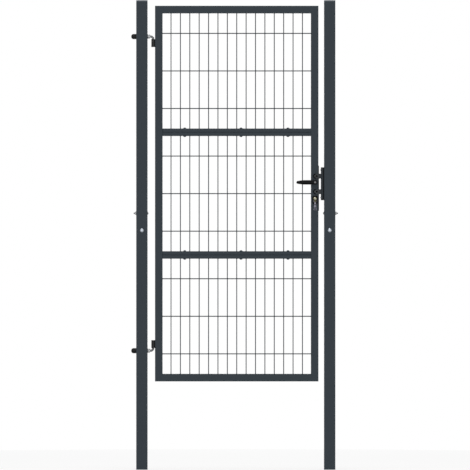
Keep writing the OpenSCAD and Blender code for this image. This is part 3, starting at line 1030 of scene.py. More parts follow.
@dataclass
class Assembly:
    """What every sub-assembly shares: the finishes, and the way a piece is handed in."""

    finishes: Finishes
    made: int = 0

    def hand_in(self, obj: Object, material: Material, body: str, slot: str,
                replaced: Sequence[str] = (), smooth: float = 32) -> Object:
        """Dresses a finished piece and fixes it to its body.

        Args:
            obj: The piece.
            material: Its material.
            body: The body that it rides on.
            slot: The record's material slot. Not used.
            replaced: The frame nodes that it stands for.
            smooth: Greatest angle, in degrees, across which it is shaded smooth.

        Returns:
            The piece.
        """
        select_only(obj)
        bpy.ops.object.shade_smooth_by_angle(angle=math.radians(smooth))
        obj.data.materials.clear()
        obj.data.materials.append(material)
        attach(obj, body)
        if replaced:
            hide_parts(*replaced)
        self.made += 1
        LOG.info("%s: %d faces on %s", obj.name, len(obj.data.polygons), body)
        return obj


# ---------------------------------------------------------------- posts


@dataclass
class TubeWork(Assembly):
    """The steel tubes, which keep their frame nodes and get the powder coat."""

    nodes: tuple[str, ...] = (
        "hinge_post", "latch_post", "hinge_stile", "latch_stile", "top_rail", "bottom_rail",
        "upper_middle_rail_top", "upper_middle_rail_bottom",
        "lower_middle_rail_top", "lower_middle_rail_bottom",
    )

    def build(self, nodes: dict[str, Object]) -> None:
        """Assigns the powder coat to the tubes' material slots.

        Args:
            nodes: The frame's objects by name.
        """
        for name in self.nodes:
            for slot in nodes[name].material_slots:
                slot.material = self.finishes.paint
        LOG.info("tubes dressed: %d", len(self.nodes))


@dataclass
class PostCaps(Assembly):
    """Moulded caps with a low crown and a hollow plug."""

    plate: float = 8 * MM
    rim_height: float = 7.2 * MM
    rim_round: float = 0.8 * MM
    corner: float = 3 * MM
    crown_inset: float = 7 * MM
    tube_wall: float = 2 * MM
    plug_wall: float = 2.5 * MM
    plug_corner: float = 1 * MM
    plug_top: float = 1 * MM

    def build(self) -> None:
        """Models one cap and copies it to the other post."""
        box, other = Box.of("hinge_post_cap"), Box.of("latch_post_cap")
        top = box.hi.z
        base = top - self.plate
        plate = block("cap_plate", (box.lo.x, box.lo.y, base),
                      (box.hi.x, box.hi.y, base + self.rim_height), self.corner)
        share = 1 - 2 * self.crown_inset / box.size.x
        with editing(plate):
            pick(plate, Element.FACES, faces_along(2, 1))
            extrude(z=self.plate - self.rim_height)
            stretch((share, share, 1), (*box.mid.xy, top))
        soften(plate, self.rim_round, 3)
        inner = box.size.x / 2 - self.tube_wall
        hollow = inner - self.plug_wall
        plug = block("cap_plug", (-inner, -inner, box.lo.z), (inner, inner, base),
                     self.plug_corner)
        carve(plug, block("plug_hollow", (-hollow, -hollow, box.lo.z - PAST),
                          (hollow, hollow, base - self.plug_top)))
        cap = joined("hinge_post_cap_shell", plate, plug)
        twin = copied(cap, "latch_post_cap_shell", other.mid - box.mid)
        # The caps' grey is partly their own colour and partly painted light from above.
        for piece, node in ((cap, "hinge_post_cap"), (twin, "latch_post_cap")):
            self.hand_in(piece, self.finishes.cap, "posts", "grey_plastic", [node])


@dataclass
class Hinges(Assembly):
    """Bent hinge rods with their nuts and caps on the post, and barrels on the leaf."""

    rod_r: float = 6 * MM
    bend_r: float = 13.5 * MM
    bend_steps: int = 12
    run_out: float = 2 * MM
    chamfer: float = 0.8 * MM
    thread_pitch: float = 1.75 * MM
    nut_across: float = 18 * MM
    nut_bite: float = 0.96
    washer_r: float = 12 * MM
    washer_t: float = 2.5 * MM
    cap_round: float = 12.5 * MM
    cap_skirt: float = 3 * MM
    cap_groove: float = 0.4 * MM
    barrel_r: float = 10 * MM
    bore_gap: float = 0.08 * MM
    pad_start: float = 7 * MM
    pad_half: float = 7 * MM
    pad_inset: float = 0.4 * MM
    pad_edge: float = 0.5 * MM
    weld_w: float = 3 * MM
    weld_inset: float = 0.6 * MM
    weld_end: float = 2 * MM

    def build(self) -> None:
        """Models the upper hinge and mirrors it for the lower one."""
        upper, lower = Box.of("upper_hinge_rod"), Box.of("lower_hinge_rod")
        level = upper.hi.z - self.rod_r
        mirrored = (1, 1, -1)
        shift = (0, 0, level + lower.lo.z + self.rod_r)
        pieces = (
            (self.rod(upper, level), "bent_rod", "hinge_rod", "posts", "zinc", self.finishes.rod),
            (self.nut(level), "rod_fixing", "rod_nut", "posts", "zinc", self.finishes.nut),
            (self.cap(level), "nut_cover", "nut_cap", "posts", "black_plastic",
             self.finishes.nut_cap),
            (self.barrel(), "hinge_knuckle", "hinge_barrel", "leaf", "black_metal",
             self.finishes.barrel),
        )
        for piece, name, node, body, slot, material in pieces:
            twin = copied(piece, f"lower_{name}", shift, mirrored)
            piece.name = piece.data.name = f"upper_{name}"
            self.hand_in(piece, material, body, slot, [f"upper_{node}"])
            self.hand_in(twin, material, body, slot, [f"lower_{node}"])

    def rod(self, box: Box, level: float) -> Object:
        """Bends a round rod from the post into the barrel's pin.

        Args:
            box: The rod's box.
            level: Height of its straight part.

        Returns:
            The rod.
        """
        bend_x, foot = box.hi.x - self.rod_r - self.bend_r, level - self.bend_r
        straight = bend_x - self.run_out - box.lo.x
        root = thread_root(self.rod_r, self.thread_pitch)
        grow, taper = self.rod_r / root, (self.rod_r - self.chamfer) / self.rod_r
        obj = start("circle", "rod", vertices=32, radius=root, fill_type="NGON",
                    location=(box.lo.x, 0, level), rotation=Turn.LEFT.value)
        with editing(obj, everything=True):
            extrude(x=straight)
            extrude(x=self.run_out / 2)
            stretch((1, grow, grow), (bend_x - self.run_out / 2, 0, level))
            extrude(x=self.run_out / 2)
            bpy.ops.mesh.spin(steps=self.bend_steps, angle=-math.pi / 2, axis=(0, 1, 0),
                              center=(bend_x, 0, foot))
            extrude(z=box.lo.z + self.chamfer - foot)
            extrude(z=-self.chamfer)
            stretch((taper, taper, 1), (box.hi.x - self.rod_r, 0, box.lo.z))
        tidy_mesh(obj)
        turns = thread("rod_thread", self.rod_r, self.thread_pitch, straight,
                       (box.lo.x, 0, level), Turn.RIGHT)
        return joined("rod", obj, turns)

    def nut(self, level: float) -> Object:
        """Makes the washer and the nut on the post's inner face.

        Args:
            level: Height of the rod.

        Returns:
            Both in one piece.
        """
        box = Box.of("upper_rod_nut")
        at = Vector((box.lo.x, 0, level))
        ring = washer("rod_washer", self.washer_r, self.washer_t, self.rod_r, at, Turn.RIGHT)
        nut = hex_nut("rod_nut_body", self.nut_across, box.size.x - self.washer_t,
                      self.rod_r * self.nut_bite, at + Vector((self.washer_t, 0, 0)), Turn.RIGHT)
        return joined("rod_fixing", ring, nut)

    def cap(self, level: float) -> Object:
        """Turns the rounded cap on the post's outer face.

        Args:
            level: Height of the rod.

        Returns:
            The cap.
        """
        box = Box.of("upper_nut_cap")
        radius, length = box.size.y / 2, box.size.x
        skirt, groove, curve = self.cap_skirt, self.cap_groove, self.cap_round
        outline = [(0, 0), (radius - groove, 0), (radius, groove), (radius, skirt),
                   (radius - groove, skirt + groove), (radius - groove, skirt + 3 * groove),
                   (radius, skirt + 4 * groove)]
        outline += arc((radius - curve, length - curve), curve, 0, 90, 12)
        outline.append((0, length))
        return turned("nut_cover", outline, (box.hi.x, 0, level), Turn.LEFT, 40)

    def barrel(self) -> Object:
        """Makes the bored barrel, its pad and the welds on the stile.

        Returns:
            The barrel, its pad and its welds in one piece.
        """
        box = Box.of("upper_hinge_barrel")
        x, length = box.lo.x + self.barrel_r, box.size.z
        bore, edge = self.rod_r + self.bore_gap, self.chamfer
        body = turned("barrel", [
            (bore, 0), (self.barrel_r - edge, 0), (self.barrel_r, edge),
            (self.barrel_r, length - edge), (self.barrel_r - edge, length),
            (bore + edge / 2, length), (bore, length - edge / 2),
        ], (x, 0, box.lo.z), steps=40)
        pad = block("pad", (x + self.pad_start, -self.pad_half, box.lo.z + self.pad_inset),
                    (box.hi.x, self.pad_half, box.hi.z - self.pad_inset), edge=self.pad_edge)
        weld_x = box.hi.x - self.weld_inset
        low, high = box.lo.z + self.weld_end, box.hi.z - self.weld_end
        welds = [bead("pad_weld", (weld_x, y, low), (weld_x, y, high), self.weld_w)
                 for y in (-self.pad_half, self.pad_half)]
        return joined("hinge_knuckle", body, pad, *welds)


@dataclass
class PostBolts(Assembly):
    """Domed bolts through the posts, with washers, nuts and thread ends."""

    shank_r: float = 4 * MM
    pitch: float = 1.25 * MM
    washer_t: float = 1.6 * MM
    washer_r: float = 11 * MM
    nut_across: float = 13 * MM
    nut_h: float = 6.5 * MM
    nut_bite: float = 0.95
    head_h: float = 5.5 * MM
    flange: float = 0.9 * MM
    side_head_r: float = 8 * MM
    front_head_r: float = 10 * MM

    def bolt(self, name: str, head_r: float, grip: float, out: float) -> Object:
        """Makes one bolt along Z, its head's underside at zero.

        Args:
            name: The bolt's name.
            head_r: Radius of the head.
            grip: Thickness of what it holds.
            out: Length of thread past the nut.

        Returns:
            The bolt with its washer and nut.
        """
        head = turned("head", dome(head_r, self.head_h, self.flange), steps=40)
        neck = round_bar("neck", self.shank_r, grip, (0, 0, -grip / 2), sides=24)
        ring = washer("ring", self.washer_r, self.washer_t, self.shank_r, (0, 0, -grip), Turn.DOWN)
        nut = hex_nut("nut", self.nut_across, self.nut_h, self.shank_r * self.nut_bite,
                      (0, 0, -grip - self.washer_t), Turn.DOWN)
        end = thread("thread", self.shank_r, self.pitch, self.washer_t + self.nut_h + out,
                     (0, 0, -grip), Turn.DOWN)
        return joined(name, head, neck, ring, nut, end)

    def build(self) -> None:
        """Makes the side bolts and the front bolts."""
        side, front = Box.of("side_bolts"), Box.of("front_bolts")
        post, other = Box.of("hinge_post"), Box.of("latch_post")
        grip = post.size.x
        out = post.lo.x - side.lo.x - self.washer_t - self.nut_h
        inner = self.bolt("side_bolt", self.side_head_r, grip, out)
        first = place(copied(inner, "side_bolt_pair"), (post.hi.x, 0, side.mid.z), Turn.RIGHT)
        second = place(inner, (other.lo.x, 0, side.mid.z), Turn.LEFT)
        pair = joined("side_bolt_pair", first, second)
        self.hand_in(pair, self.finishes.nut, "posts", "zinc", ["side_bolts"])
        face = self.bolt("front_bolt_pair", self.front_head_r, grip, out)
        place(face, (post.mid.x, post.lo.y, front.mid.z), Turn.FRONT)
        pair = paired("front_bolt_pair", face, (other.mid.x - post.mid.x, 0, 0))
        self.hand_in(pair, self.finishes.bolt, "posts", "zinc", ["front_bolts"])


@dataclass
class Keep(Assembly):
    """The keep on the latch post, with its arms, buffers and screws."""

    edge: float = 1.2 * MM
    spacer_t: float = 4.5 * MM
    spacer_step: float = 1.5 * MM
    cover_h: float = 6 * MM
    arm_edge: float = 0.8 * MM
    arm_margin: float = 5 * MM
    guard: float = 4.5 * MM
    guard_step: float = 0.4 * MM
    stem_hole_r: float = 4 * MM
    pocket_half: float = 7.5 * MM
    pocket_depth: float = 11 * MM
    pocket_corner: float = 2 * MM
    latch_half: float = 15 * MM
    dead_bolt_half: float = 12 * MM
    buffer_head: float = 5.5 * MM
    buffer_stem_r: float = 4.5 * MM
    buffer_lip: float = 0.6 * MM
    buffer_hole_r: float = 3.2 * MM
    buffer_hole_depth: float = 3.5 * MM
    buffer_dish: ClassVar[tuple[Point, ...]] = ((0, 0.6 * MM), (3 * MM, 0.5 * MM), (5 * MM, 0))
    screw_flange: float = 0.5 * MM
    socket_r: float = 2.3 * MM
    socket_floor: float = 0.7

    def build(self) -> None:
        """Models the keep's body, arms, buffers and screws."""
        box, arms = Box.of("keep"), Box.of("stop_arms")
        levels = self.levels(arms)
        self.body(box, levels)
        self.arms(arms, levels)
        self.buffers(levels)
        self.screws(box)

    def levels(self, arms: Box) -> tuple[float, float]:
        """Gives the heights of the dead bolt and of the latch.

        Args:
            arms: The box of both arms.

        Returns:
            The lower and the upper height.
        """
        half = Box.of("stop_buffers").size.x / 2 + self.arm_margin
        return arms.lo.z + half, arms.hi.z - half

    def body(self, box: Box, levels: tuple[float, float]) -> None:
        """Shapes the keep's coated body and end covers, and a black spacer plate whose black is
        painted shade.

        Args:
            box: The keep's box.
            levels: Heights of the dead bolt and of the latch.
        """
        seam_x = box.hi.x - self.spacer_t
        low, high = box.lo.z + self.cover_h, box.hi.z - self.cover_h
        body = block("keep_body", (box.lo.x, box.lo.y, low), (seam_x, box.hi.y, high),
                     edge=self.edge)
        step = self.spacer_step
        # Painted shade: the spacer is black so that it stands in for the shadow line between the
        # keep and the post.
        plate = block("keep_spacer", (seam_x, box.lo.y + step, box.lo.z),
                      (box.hi.x, box.hi.y - step, box.hi.z), edge=self.edge / 2)
        covers = [
            block("cover", (box.lo.x, box.lo.y, bottom), (seam_x, box.hi.y, bottom + self.cover_h),
                  edge=self.edge)
            for bottom in (box.lo.z, high)
        ]
        dark = joined("keep_shade_spacer_and_covers", plate, *covers)
        for level, half in zip(levels, (self.dead_bolt_half, self.latch_half)):
            pocket = block("pocket", (box.lo.x - PAST, -self.pocket_half, level - half),
                           (box.lo.x + self.pocket_depth, self.pocket_half, level + half),
                           self.pocket_corner, 0)
            carve(dark, copied(pocket, "pocket_twin"))
            carve(body, pocket)
        self.hand_in(body, self.finishes.keep, "posts", "black_plastic", ["keep"])
        # Painted shade: on the spacer this black stands in for the shadow line between the keep and
        # the post.
        self.hand_in(dark, self.finishes.plastic, "posts", "black_plastic", ["keep"])

    def arms(self, arms: Box, levels: tuple[float, float]) -> None:
        """Shapes the two stop arms with rounded ends and rubber guards, whose black is partly
        painted shade.

        Args:
            arms: The box of both arms.
            levels: Heights of the dead bolt and of the latch.
        """
        level = levels[0]
        depth, radius = arms.size.y, level - arms.lo.z
        nose = radius - self.guard
        centre = (arms.lo.x + radius, arms.mid.y, level)
        arm = round_bar("arm", nose, depth, centre, Turn.FRONT, 48)
        carve(arm, block("bar", (centre[0], arms.lo.y, level - radius),
                         (arms.hi.x, arms.hi.y, level + radius)), "UNION")
        soften(arm, self.arm_edge, 3)
        carve(arm, round_bar("stem_hole", self.stem_hole_r, 2 * depth,
                             (Box.of("stop_buffers").mid.x, arms.mid.y, level), Turn.FRONT))
        # The black guard round each arm's rounded end is partly a rubber sleeve and partly painted
        # shade on that end.
        guard = round_bar("guard", radius, depth - self.guard_step, centre, Turn.FRONT, 64)
        carve(guard, round_bar("inner", nose, 2 * depth, centre, Turn.FRONT, 48))
        carve(guard, block("half", (centre[0], arms.lo.y - PAST, arms.lo.z - PAST),
                           (centre[0] + 2 * radius, arms.hi.y + PAST, arms.hi.z + PAST)))
        soften(guard, self.arm_edge, 3, 60)
        for piece, name, finish, slot in (
                (arm, "stop_arm_pair", self.finishes.arm, "powder_coat"),
                (guard, "stop_arm_guards_with_painted_shade", self.finishes.rubber, "rubber")):
            pair = paired(name, piece, (0, 0, levels[1] - level))
            self.hand_in(pair, finish, "posts", slot, ["stop_arms"])

    def buffers(self, levels: tuple[float, float]) -> None:
        """Turns the rubber buffers, whose stems stand out of the arms.

        Args:
            levels: Heights of the dead bolt and of the latch.
        """
        box = Box.of("stop_buffers")
        radius, length = box.size.x / 2, box.size.y
        head, stem, lip = self.buffer_head, self.buffer_stem_r, self.buffer_lip
        hole, floor = self.buffer_hole_r, length - self.buffer_hole_depth
        outline = [*self.buffer_dish, (radius - lip, 0), (radius, lip), (radius, head - lip),
                   (radius - lip, head), (stem, head)]
        outline += arc((stem - lip, length - lip), lip, 0, 90, 3)
        outline += [(hole, length), (hole, floor), (0, floor)]
        low = turned("buffer_pair", outline, (box.mid.x, box.hi.y, levels[0]), Turn.FRONT)
        pair = paired("buffer_pair", low, (0, 0, levels[1] - levels[0]))
        self.hand_in(pair, self.finishes.rubber, "posts", "rubber", ["stop_buffers"])

    def screws(self, box: Box) -> None:
        """Makes the two socket screws on the keep's face.

        Args:
            box: The keep's box.
        """
        node = Box.of("keep_screws")
        radius, height = node.size.y / 2, node.size.x
        low = turned("screw", dome(radius, height, self.screw_flange))
        socket_mid = (0, 0, (1 + self.socket_floor) * height)
        carve(low, round_bar("socket", self.socket_r, 2 * height, socket_mid, sides=6))
        place(low, (box.lo.x, 0, node.lo.z + radius), Turn.LEFT)
        pair = paired("keep_screw_pair", low, (0, 0, node.size.z - 2 * radius))
        self.hand_in(pair, self.finishes.nut, "posts", "zinc", ["keep_screws"])


# ---------------------------------------------------------------- leaf


@dataclass
class WirePanels(Assembly):
    """The three bays of welded wire, with weld points and weld collars at the frame."""

    upright_r: float = 2.5 * MM
    level_r: float = 2.75 * MM
    uprights: int = 15
    upright_pitch: float = 50 * MM
    levels: int = 3
    level_pitch: float = 200 * MM
    sides: int = 14
    nugget_r: float = 3.4 * MM
    nugget_squash: Place = (1, 0.62, 0.92)
    collar: float = 1.2 * MM
    collar_bend: Point = (0.66 * MM, 0.6 * MM)
    collar_h: float = 1.92 * MM
    collar_bite: float = 0.98

    def collar_row(self, radius: float, at: Place, turn: Turn, count: int, step: Place) -> Object:
        """Makes a row of small weld collars round the wires' ends.

        Args:
            radius: Radius of the wires.
            at: The first wire's end.
            turn: Which way the wire leaves the frame.
            count: How many wires there are.
            step: The way from one to the next.

        Returns:
            The row.
        """
        bend_w, bend_h = self.collar_bend
        ring = turned("collar", [(0, 0), (radius + self.collar, 0), (radius + bend_w, bend_h),
                                 (radius * self.collar_bite, self.collar_h), (0, self.collar_h)],
                      at, turn, 12)
        return rowed(ring, count, step)

    def panel(self, node: str) -> Object:
        """Models the wires of one bay.

        Args:
            node: The frame node of the bay.

        Returns:
            All wires and welds of the bay in one piece.
        """
        box = Box.of(node)
        first_x = box.mid.x - (self.uprights - 1) / 2 * self.upright_pitch
        first_z = box.mid.z - (self.levels - 1) / 2 * self.level_pitch
        back_y, front_y = box.hi.y - self.upright_r, box.lo.y + self.level_r
        weld_y = (back_y + front_y + self.level_r - self.upright_r) / 2
        across, up = (self.upright_pitch, 0, 0), (0, 0, self.level_pitch)
        upright = round_bar("upright", self.upright_r, box.size.z,
                            (first_x, back_y, box.mid.z), sides=self.sides)
        level = round_bar("level", self.level_r, box.size.x,
                          (box.mid.x, front_y, first_z), Turn.RIGHT, self.sides)
        nugget = start("ico_sphere", "nugget", subdivisions=2, radius=self.nugget_r,
                       scale=self.nugget_squash)
        place(nugget, (first_x, weld_y, first_z))
        rowed(upright, self.uprights, across)
        rowed(level, self.levels, up)
        rowed(rowed(nugget, self.uprights, across), self.levels, up)
        rows = [self.collar_row(self.upright_r, (first_x, back_y, z), turn, self.uprights, across)
                for z, turn in ((box.lo.z, Turn.UP), (box.hi.z, Turn.DOWN))]
        rows += [self.collar_row(self.level_r, (x, front_y, first_z), turn, self.levels, up)
                 for x, turn in ((box.lo.x, Turn.RIGHT), (box.hi.x, Turn.LEFT))]
        return joined(node.replace("mesh", "wire_panel"), upright, level, nugget, *rows)

    def build(self) -> None:
        """Models the three bays."""
        for node in ("upper_mesh", "middle_mesh", "lower_mesh"):
            self.hand_in(self.panel(node), self.finishes.paint, "leaf", "powder_coat", [node], 50)


@dataclass
class RailBolts(Assembly):
    """Painted bolts that clamp the two bars of each middle rail."""

    shank_r: float = 4 * MM
    head_r: float = 8.5 * MM
    head_h: float = 5.5 * MM
    flange: float = 1.1 * MM
    bays_to_middle: int = 6

    def build(self) -> None:
        """Models one rail's bolts for each rail."""
        reach = self.bays_to_middle * WirePanels.upright_pitch
        for side in ("upper", "lower"):
            box = Box.of(f"{side}_rail_bolts")
            first, last = box.lo.x + self.head_r, box.hi.x - self.head_r
            bolt = self.bolt(box.hi.z - self.head_h, box.lo.z + self.head_h)
            copies = [copied(bolt, "rail_bolt", (x, 0, 0)) for x in (first, first + reach, last)]
            bpy.data.objects.remove(bolt)
            piece = joined(f"{side}_rail_bolt_row", *copies)
            self.hand_in(piece, self.finishes.paint, "leaf", "powder_coat", [f"{side}_rail_bolts"])

    def bolt(self, top: float, bottom: float) -> Object:
        """Makes one bolt at x = 0.

        Args:
            top: Height of the rail's upper face.
            bottom: Height of the rail's lower face.

        Returns:
            The bolt.
        """
        outline = dome(self.head_r, self.head_h, self.flange)
        head = turned("rail_head", outline, (0, 0, top))
        foot = turned("rail_foot", outline, (0, 0, bottom), Turn.DOWN)
        neck = round_bar("rail_neck", self.shank_r, top - bottom, (0, 0, (top + bottom) / 2),
                         sides=20)
        return joined("rail_bolt", head, neck, foot)


@dataclass
class FrameWelds(Assembly):
    """Weld beads where the middle rails meet the stiles, and in the leaf's inner corners."""

    width: float = 2.6 * MM
    corner: float = 3 * MM
    inset: float = 0.985

    def build(self) -> None:
        """Lays every bead of the leaf."""
        beads = []
        for side in ("upper", "lower"):
            for part in ("top", "bottom"):
                box = Box.of(f"{side}_middle_rail_{part}")
                low, high = box.lo.z + self.corner, box.hi.z - self.corner
                for x in (box.lo.x, box.hi.x):
                    for y in (box.lo.y * self.inset, box.hi.y * self.inset):
                        beads.append(bead("rail_weld", (x, y, low), (x, y, high), self.width))
        stile, end = Box.of("hinge_stile"), Box.of("latch_stile")
        top, bottom = Box.of("top_rail"), Box.of("bottom_rail")
        reach = stile.size.y / 2 - self.corner
        for x in (stile.hi.x, end.lo.x):
            for z in (bottom.hi.z, top.lo.z):
                beads.append(bead("corner_weld", (x, -reach, z), (x, reach, z), self.width))
        piece = joined("frame_weld_beads", *beads)
        self.hand_in(piece, self.finishes.paint, "leaf", "powder_coat", smooth=60)


# ---------------------------------------------------------------- lock


@dataclass
class Lock(Assembly):
    """The lock in the stile: faceplate, bolts, cylinder, escutcheons and roses."""

    faceplate_t: float = 3 * MM
    faceplate_corner: float = 4 * MM
    faceplate_edge: float = 0.4 * MM
    case_depth: float = 15 * MM
    case_inset: float = 24 * MM
    case_gap: float = 0.05 * MM
    case_edge: float = 1 * MM
    screw_inset: float = 12 * MM
    screw_foot: Point = (1.6 * MM, -2.6 * MM)
    screw_rim: Point = (4.2 * MM, -0.25 * MM)
    seat_foot: Point = (1.5 * MM, -3 * MM)
    seat_rim: Point = (4.55 * MM, 0.05 * MM)
    slot_size: Place = (5 * MM, 1.1 * MM, 2 * MM)
    latch_slant: float = 4.6 * MM
    latch_edge: float = 0.5 * MM
    dead_bolt_edge: float = 0.6 * MM
    profile_r: float = 8.5 * MM
    leg_r: float = 5 * MM
    profile_height: float = 33 * MM
    profile_edge: float = 0.5 * MM
    profile_gap: float = 0.25 * MM
    plug_r: float = 6.58 * MM
    plug_hollow: float = 12.5 * MM
    plug_middle: float = 5.7 * MM
    shield_corner: float = 9 * MM
    shield_edge: float = 1.8 * MM
    shield_cut: float = 40 * MM
    rose_round: float = 1.6 * MM
    rose_bore: float = 8.25 * MM
    rose_chamfer: float = 0.6 * MM

    def build(self) -> None:
        """Models every piece of the lock."""
        self.case()
        self.noses()
        self.cylinder()
        self.covers()

    def cone(self, name: str, foot: Point, rim: Point) -> Object:
        """Turns a countersunk cone between two circles of radius and height."""
        return turned(name, [(0, foot[1]), foot, rim, (0, rim[1])])

    def case(self) -> None:
        """Models the lock's case with its faceplate and two countersunk screws."""
        box = Box.of("lock_case")
        face = box.hi.x - self.faceplate_t
        plate = block("plate", (face, box.lo.y, box.lo.z), box.hi, self.faceplate_corner, 0,
                      self.faceplate_edge)
        screws = []
        for z in (box.lo.z + self.screw_inset, box.hi.z - self.screw_inset):
            at = (box.hi.x, 0, z)
            carve(plate, place(self.cone("seat", self.seat_foot, self.seat_rim), at, Turn.RIGHT))
            head = self.cone("countersunk", self.screw_foot, self.screw_rim)
            for angle in (0.0, math.pi / 2):
                carve(head, start("cube", "slot", size=1, scale=self.slot_size,
                                  rotation=(0, 0, angle)))
            screws.append(place(head, at, Turn.RIGHT))
        half, inset = self.case_depth / 2, self.case_inset
        body = block("case", (box.lo.x, -half, box.lo.z + inset),
                     (face - self.case_gap, half, box.hi.z - inset), edge=self.case_edge)
        piece = joined("lock_body", plate, body, *screws)
        self.hand_in(piece, self.finishes.barrel, "leaf", "black_metal", ["lock_case"])

    def noses(self) -> None:
        """Shapes the slanted latch and the square dead bolt."""
        box, bolt = Box.of("latch_bolt"), Box.of("dead_bolt")
        nose = block("latch_nose", box.lo, box.hi)
        with editing(nose, everything=True):
            bpy.ops.mesh.bisect(plane_co=(box.hi.x - self.latch_slant, box.lo.y, box.mid.z),
                                plane_no=(1, -1, 0), use_fill=True, clear_outer=True)
        soften(nose, self.latch_edge, angle=30)
        self.hand_in(nose, self.finishes.nut, "leaf", "zinc", ["latch_bolt"])
        square = block("dead_bolt_nose", bolt.lo, bolt.hi, edge=self.dead_bolt_edge)
        self.hand_in(square, self.finishes.nut, "leaf", "zinc", ["dead_bolt"])

    def profile(self, name: str, middle: Vector, half: float, gap: float) -> Object:
        """Makes a bar of the cylinder's profile, round above and narrow below.

        Args:
            name: The bar's name.
            middle: Middle of the round part.
            half: Half the bar's length along Y.
            gap: How far the profile is grown.

        Returns:
            The bar.
        """
        leg_z = middle.z + self.profile_r + self.leg_r - self.profile_height
        leg_r = self.leg_r + gap
        bar = round_bar(name, self.profile_r + gap, 2 * half, middle, Turn.FRONT, 48)
        carve(bar, block("web", (middle.x - leg_r, middle.y - half, leg_z),
                         (middle.x + leg_r, middle.y + half, middle.z)), "UNION")
        foot = round_bar("foot", leg_r, 2 * half, (middle.x, middle.y, leg_z), Turn.FRONT)
        return carve(bar, foot, "UNION")

    def cylinder(self) -> None:
        """Models the lock cylinder with the round hollow for its plug."""
        box = Box.of("lock_cylinder")
        middle = Vector((box.mid.x, 0, box.hi.z - self.profile_r))
        bar = self.profile("profile_cylinder", middle, box.size.y / 2, 0)
        soften(bar, self.profile_edge, angle=60)
        carve(bar, round_bar("hollow", self.plug_r, self.plug_hollow,
                             (middle.x, box.lo.y + self.plug_middle, middle.z), Turn.FRONT, 48))
        # Painted shade: the cylinder gets the darker copy of the plug's brass, for the shade inside
        # the escutcheon.
        self.hand_in(bar, self.finishes.brass, "leaf", "brass", ["lock_cylinder"])

    def covers(self) -> None:
        """Models the escutcheon and the rose on each side of the leaf."""
        node = Box.of("front_escutcheon")
        middle = Vector((node.mid.x, 0, Box.of("lock_cylinder").hi.z - self.profile_r))
        shield = block("front_shield", node.lo, node.hi, self.shield_corner, 1, self.shield_edge)
        carve(shield, self.profile("profile_hole", middle, self.shield_cut, self.profile_gap))
        rose = Box.of("front_rose")
        radius, height = rose.size.x / 2, rose.size.y
        bore, edge, curve = self.rose_bore, self.rose_chamfer, self.rose_round
        outline = [(bore, 0), (radius, 0)]
        outline += arc((radius - curve, height - curve), curve, 0, 90, 5)
        outline += [(bore + edge, height), (bore, height - edge)]
        ring = turned("front_rose_ring", outline, (rose.mid.x, rose.hi.y, rose.mid.z),
                      Turn.FRONT, 48)
        for piece, node_end in ((shield, "escutcheon"), (ring, "rose")):
            twin = copied(piece, piece.name.replace("front", "back"), scale=(1, -1, 1))
            for part, side in ((piece, "front"), (twin, "back")):
                self.hand_in(part, self.finishes.plastic, "leaf", "black_plastic",
                             [f"{side}_{node_end}"])


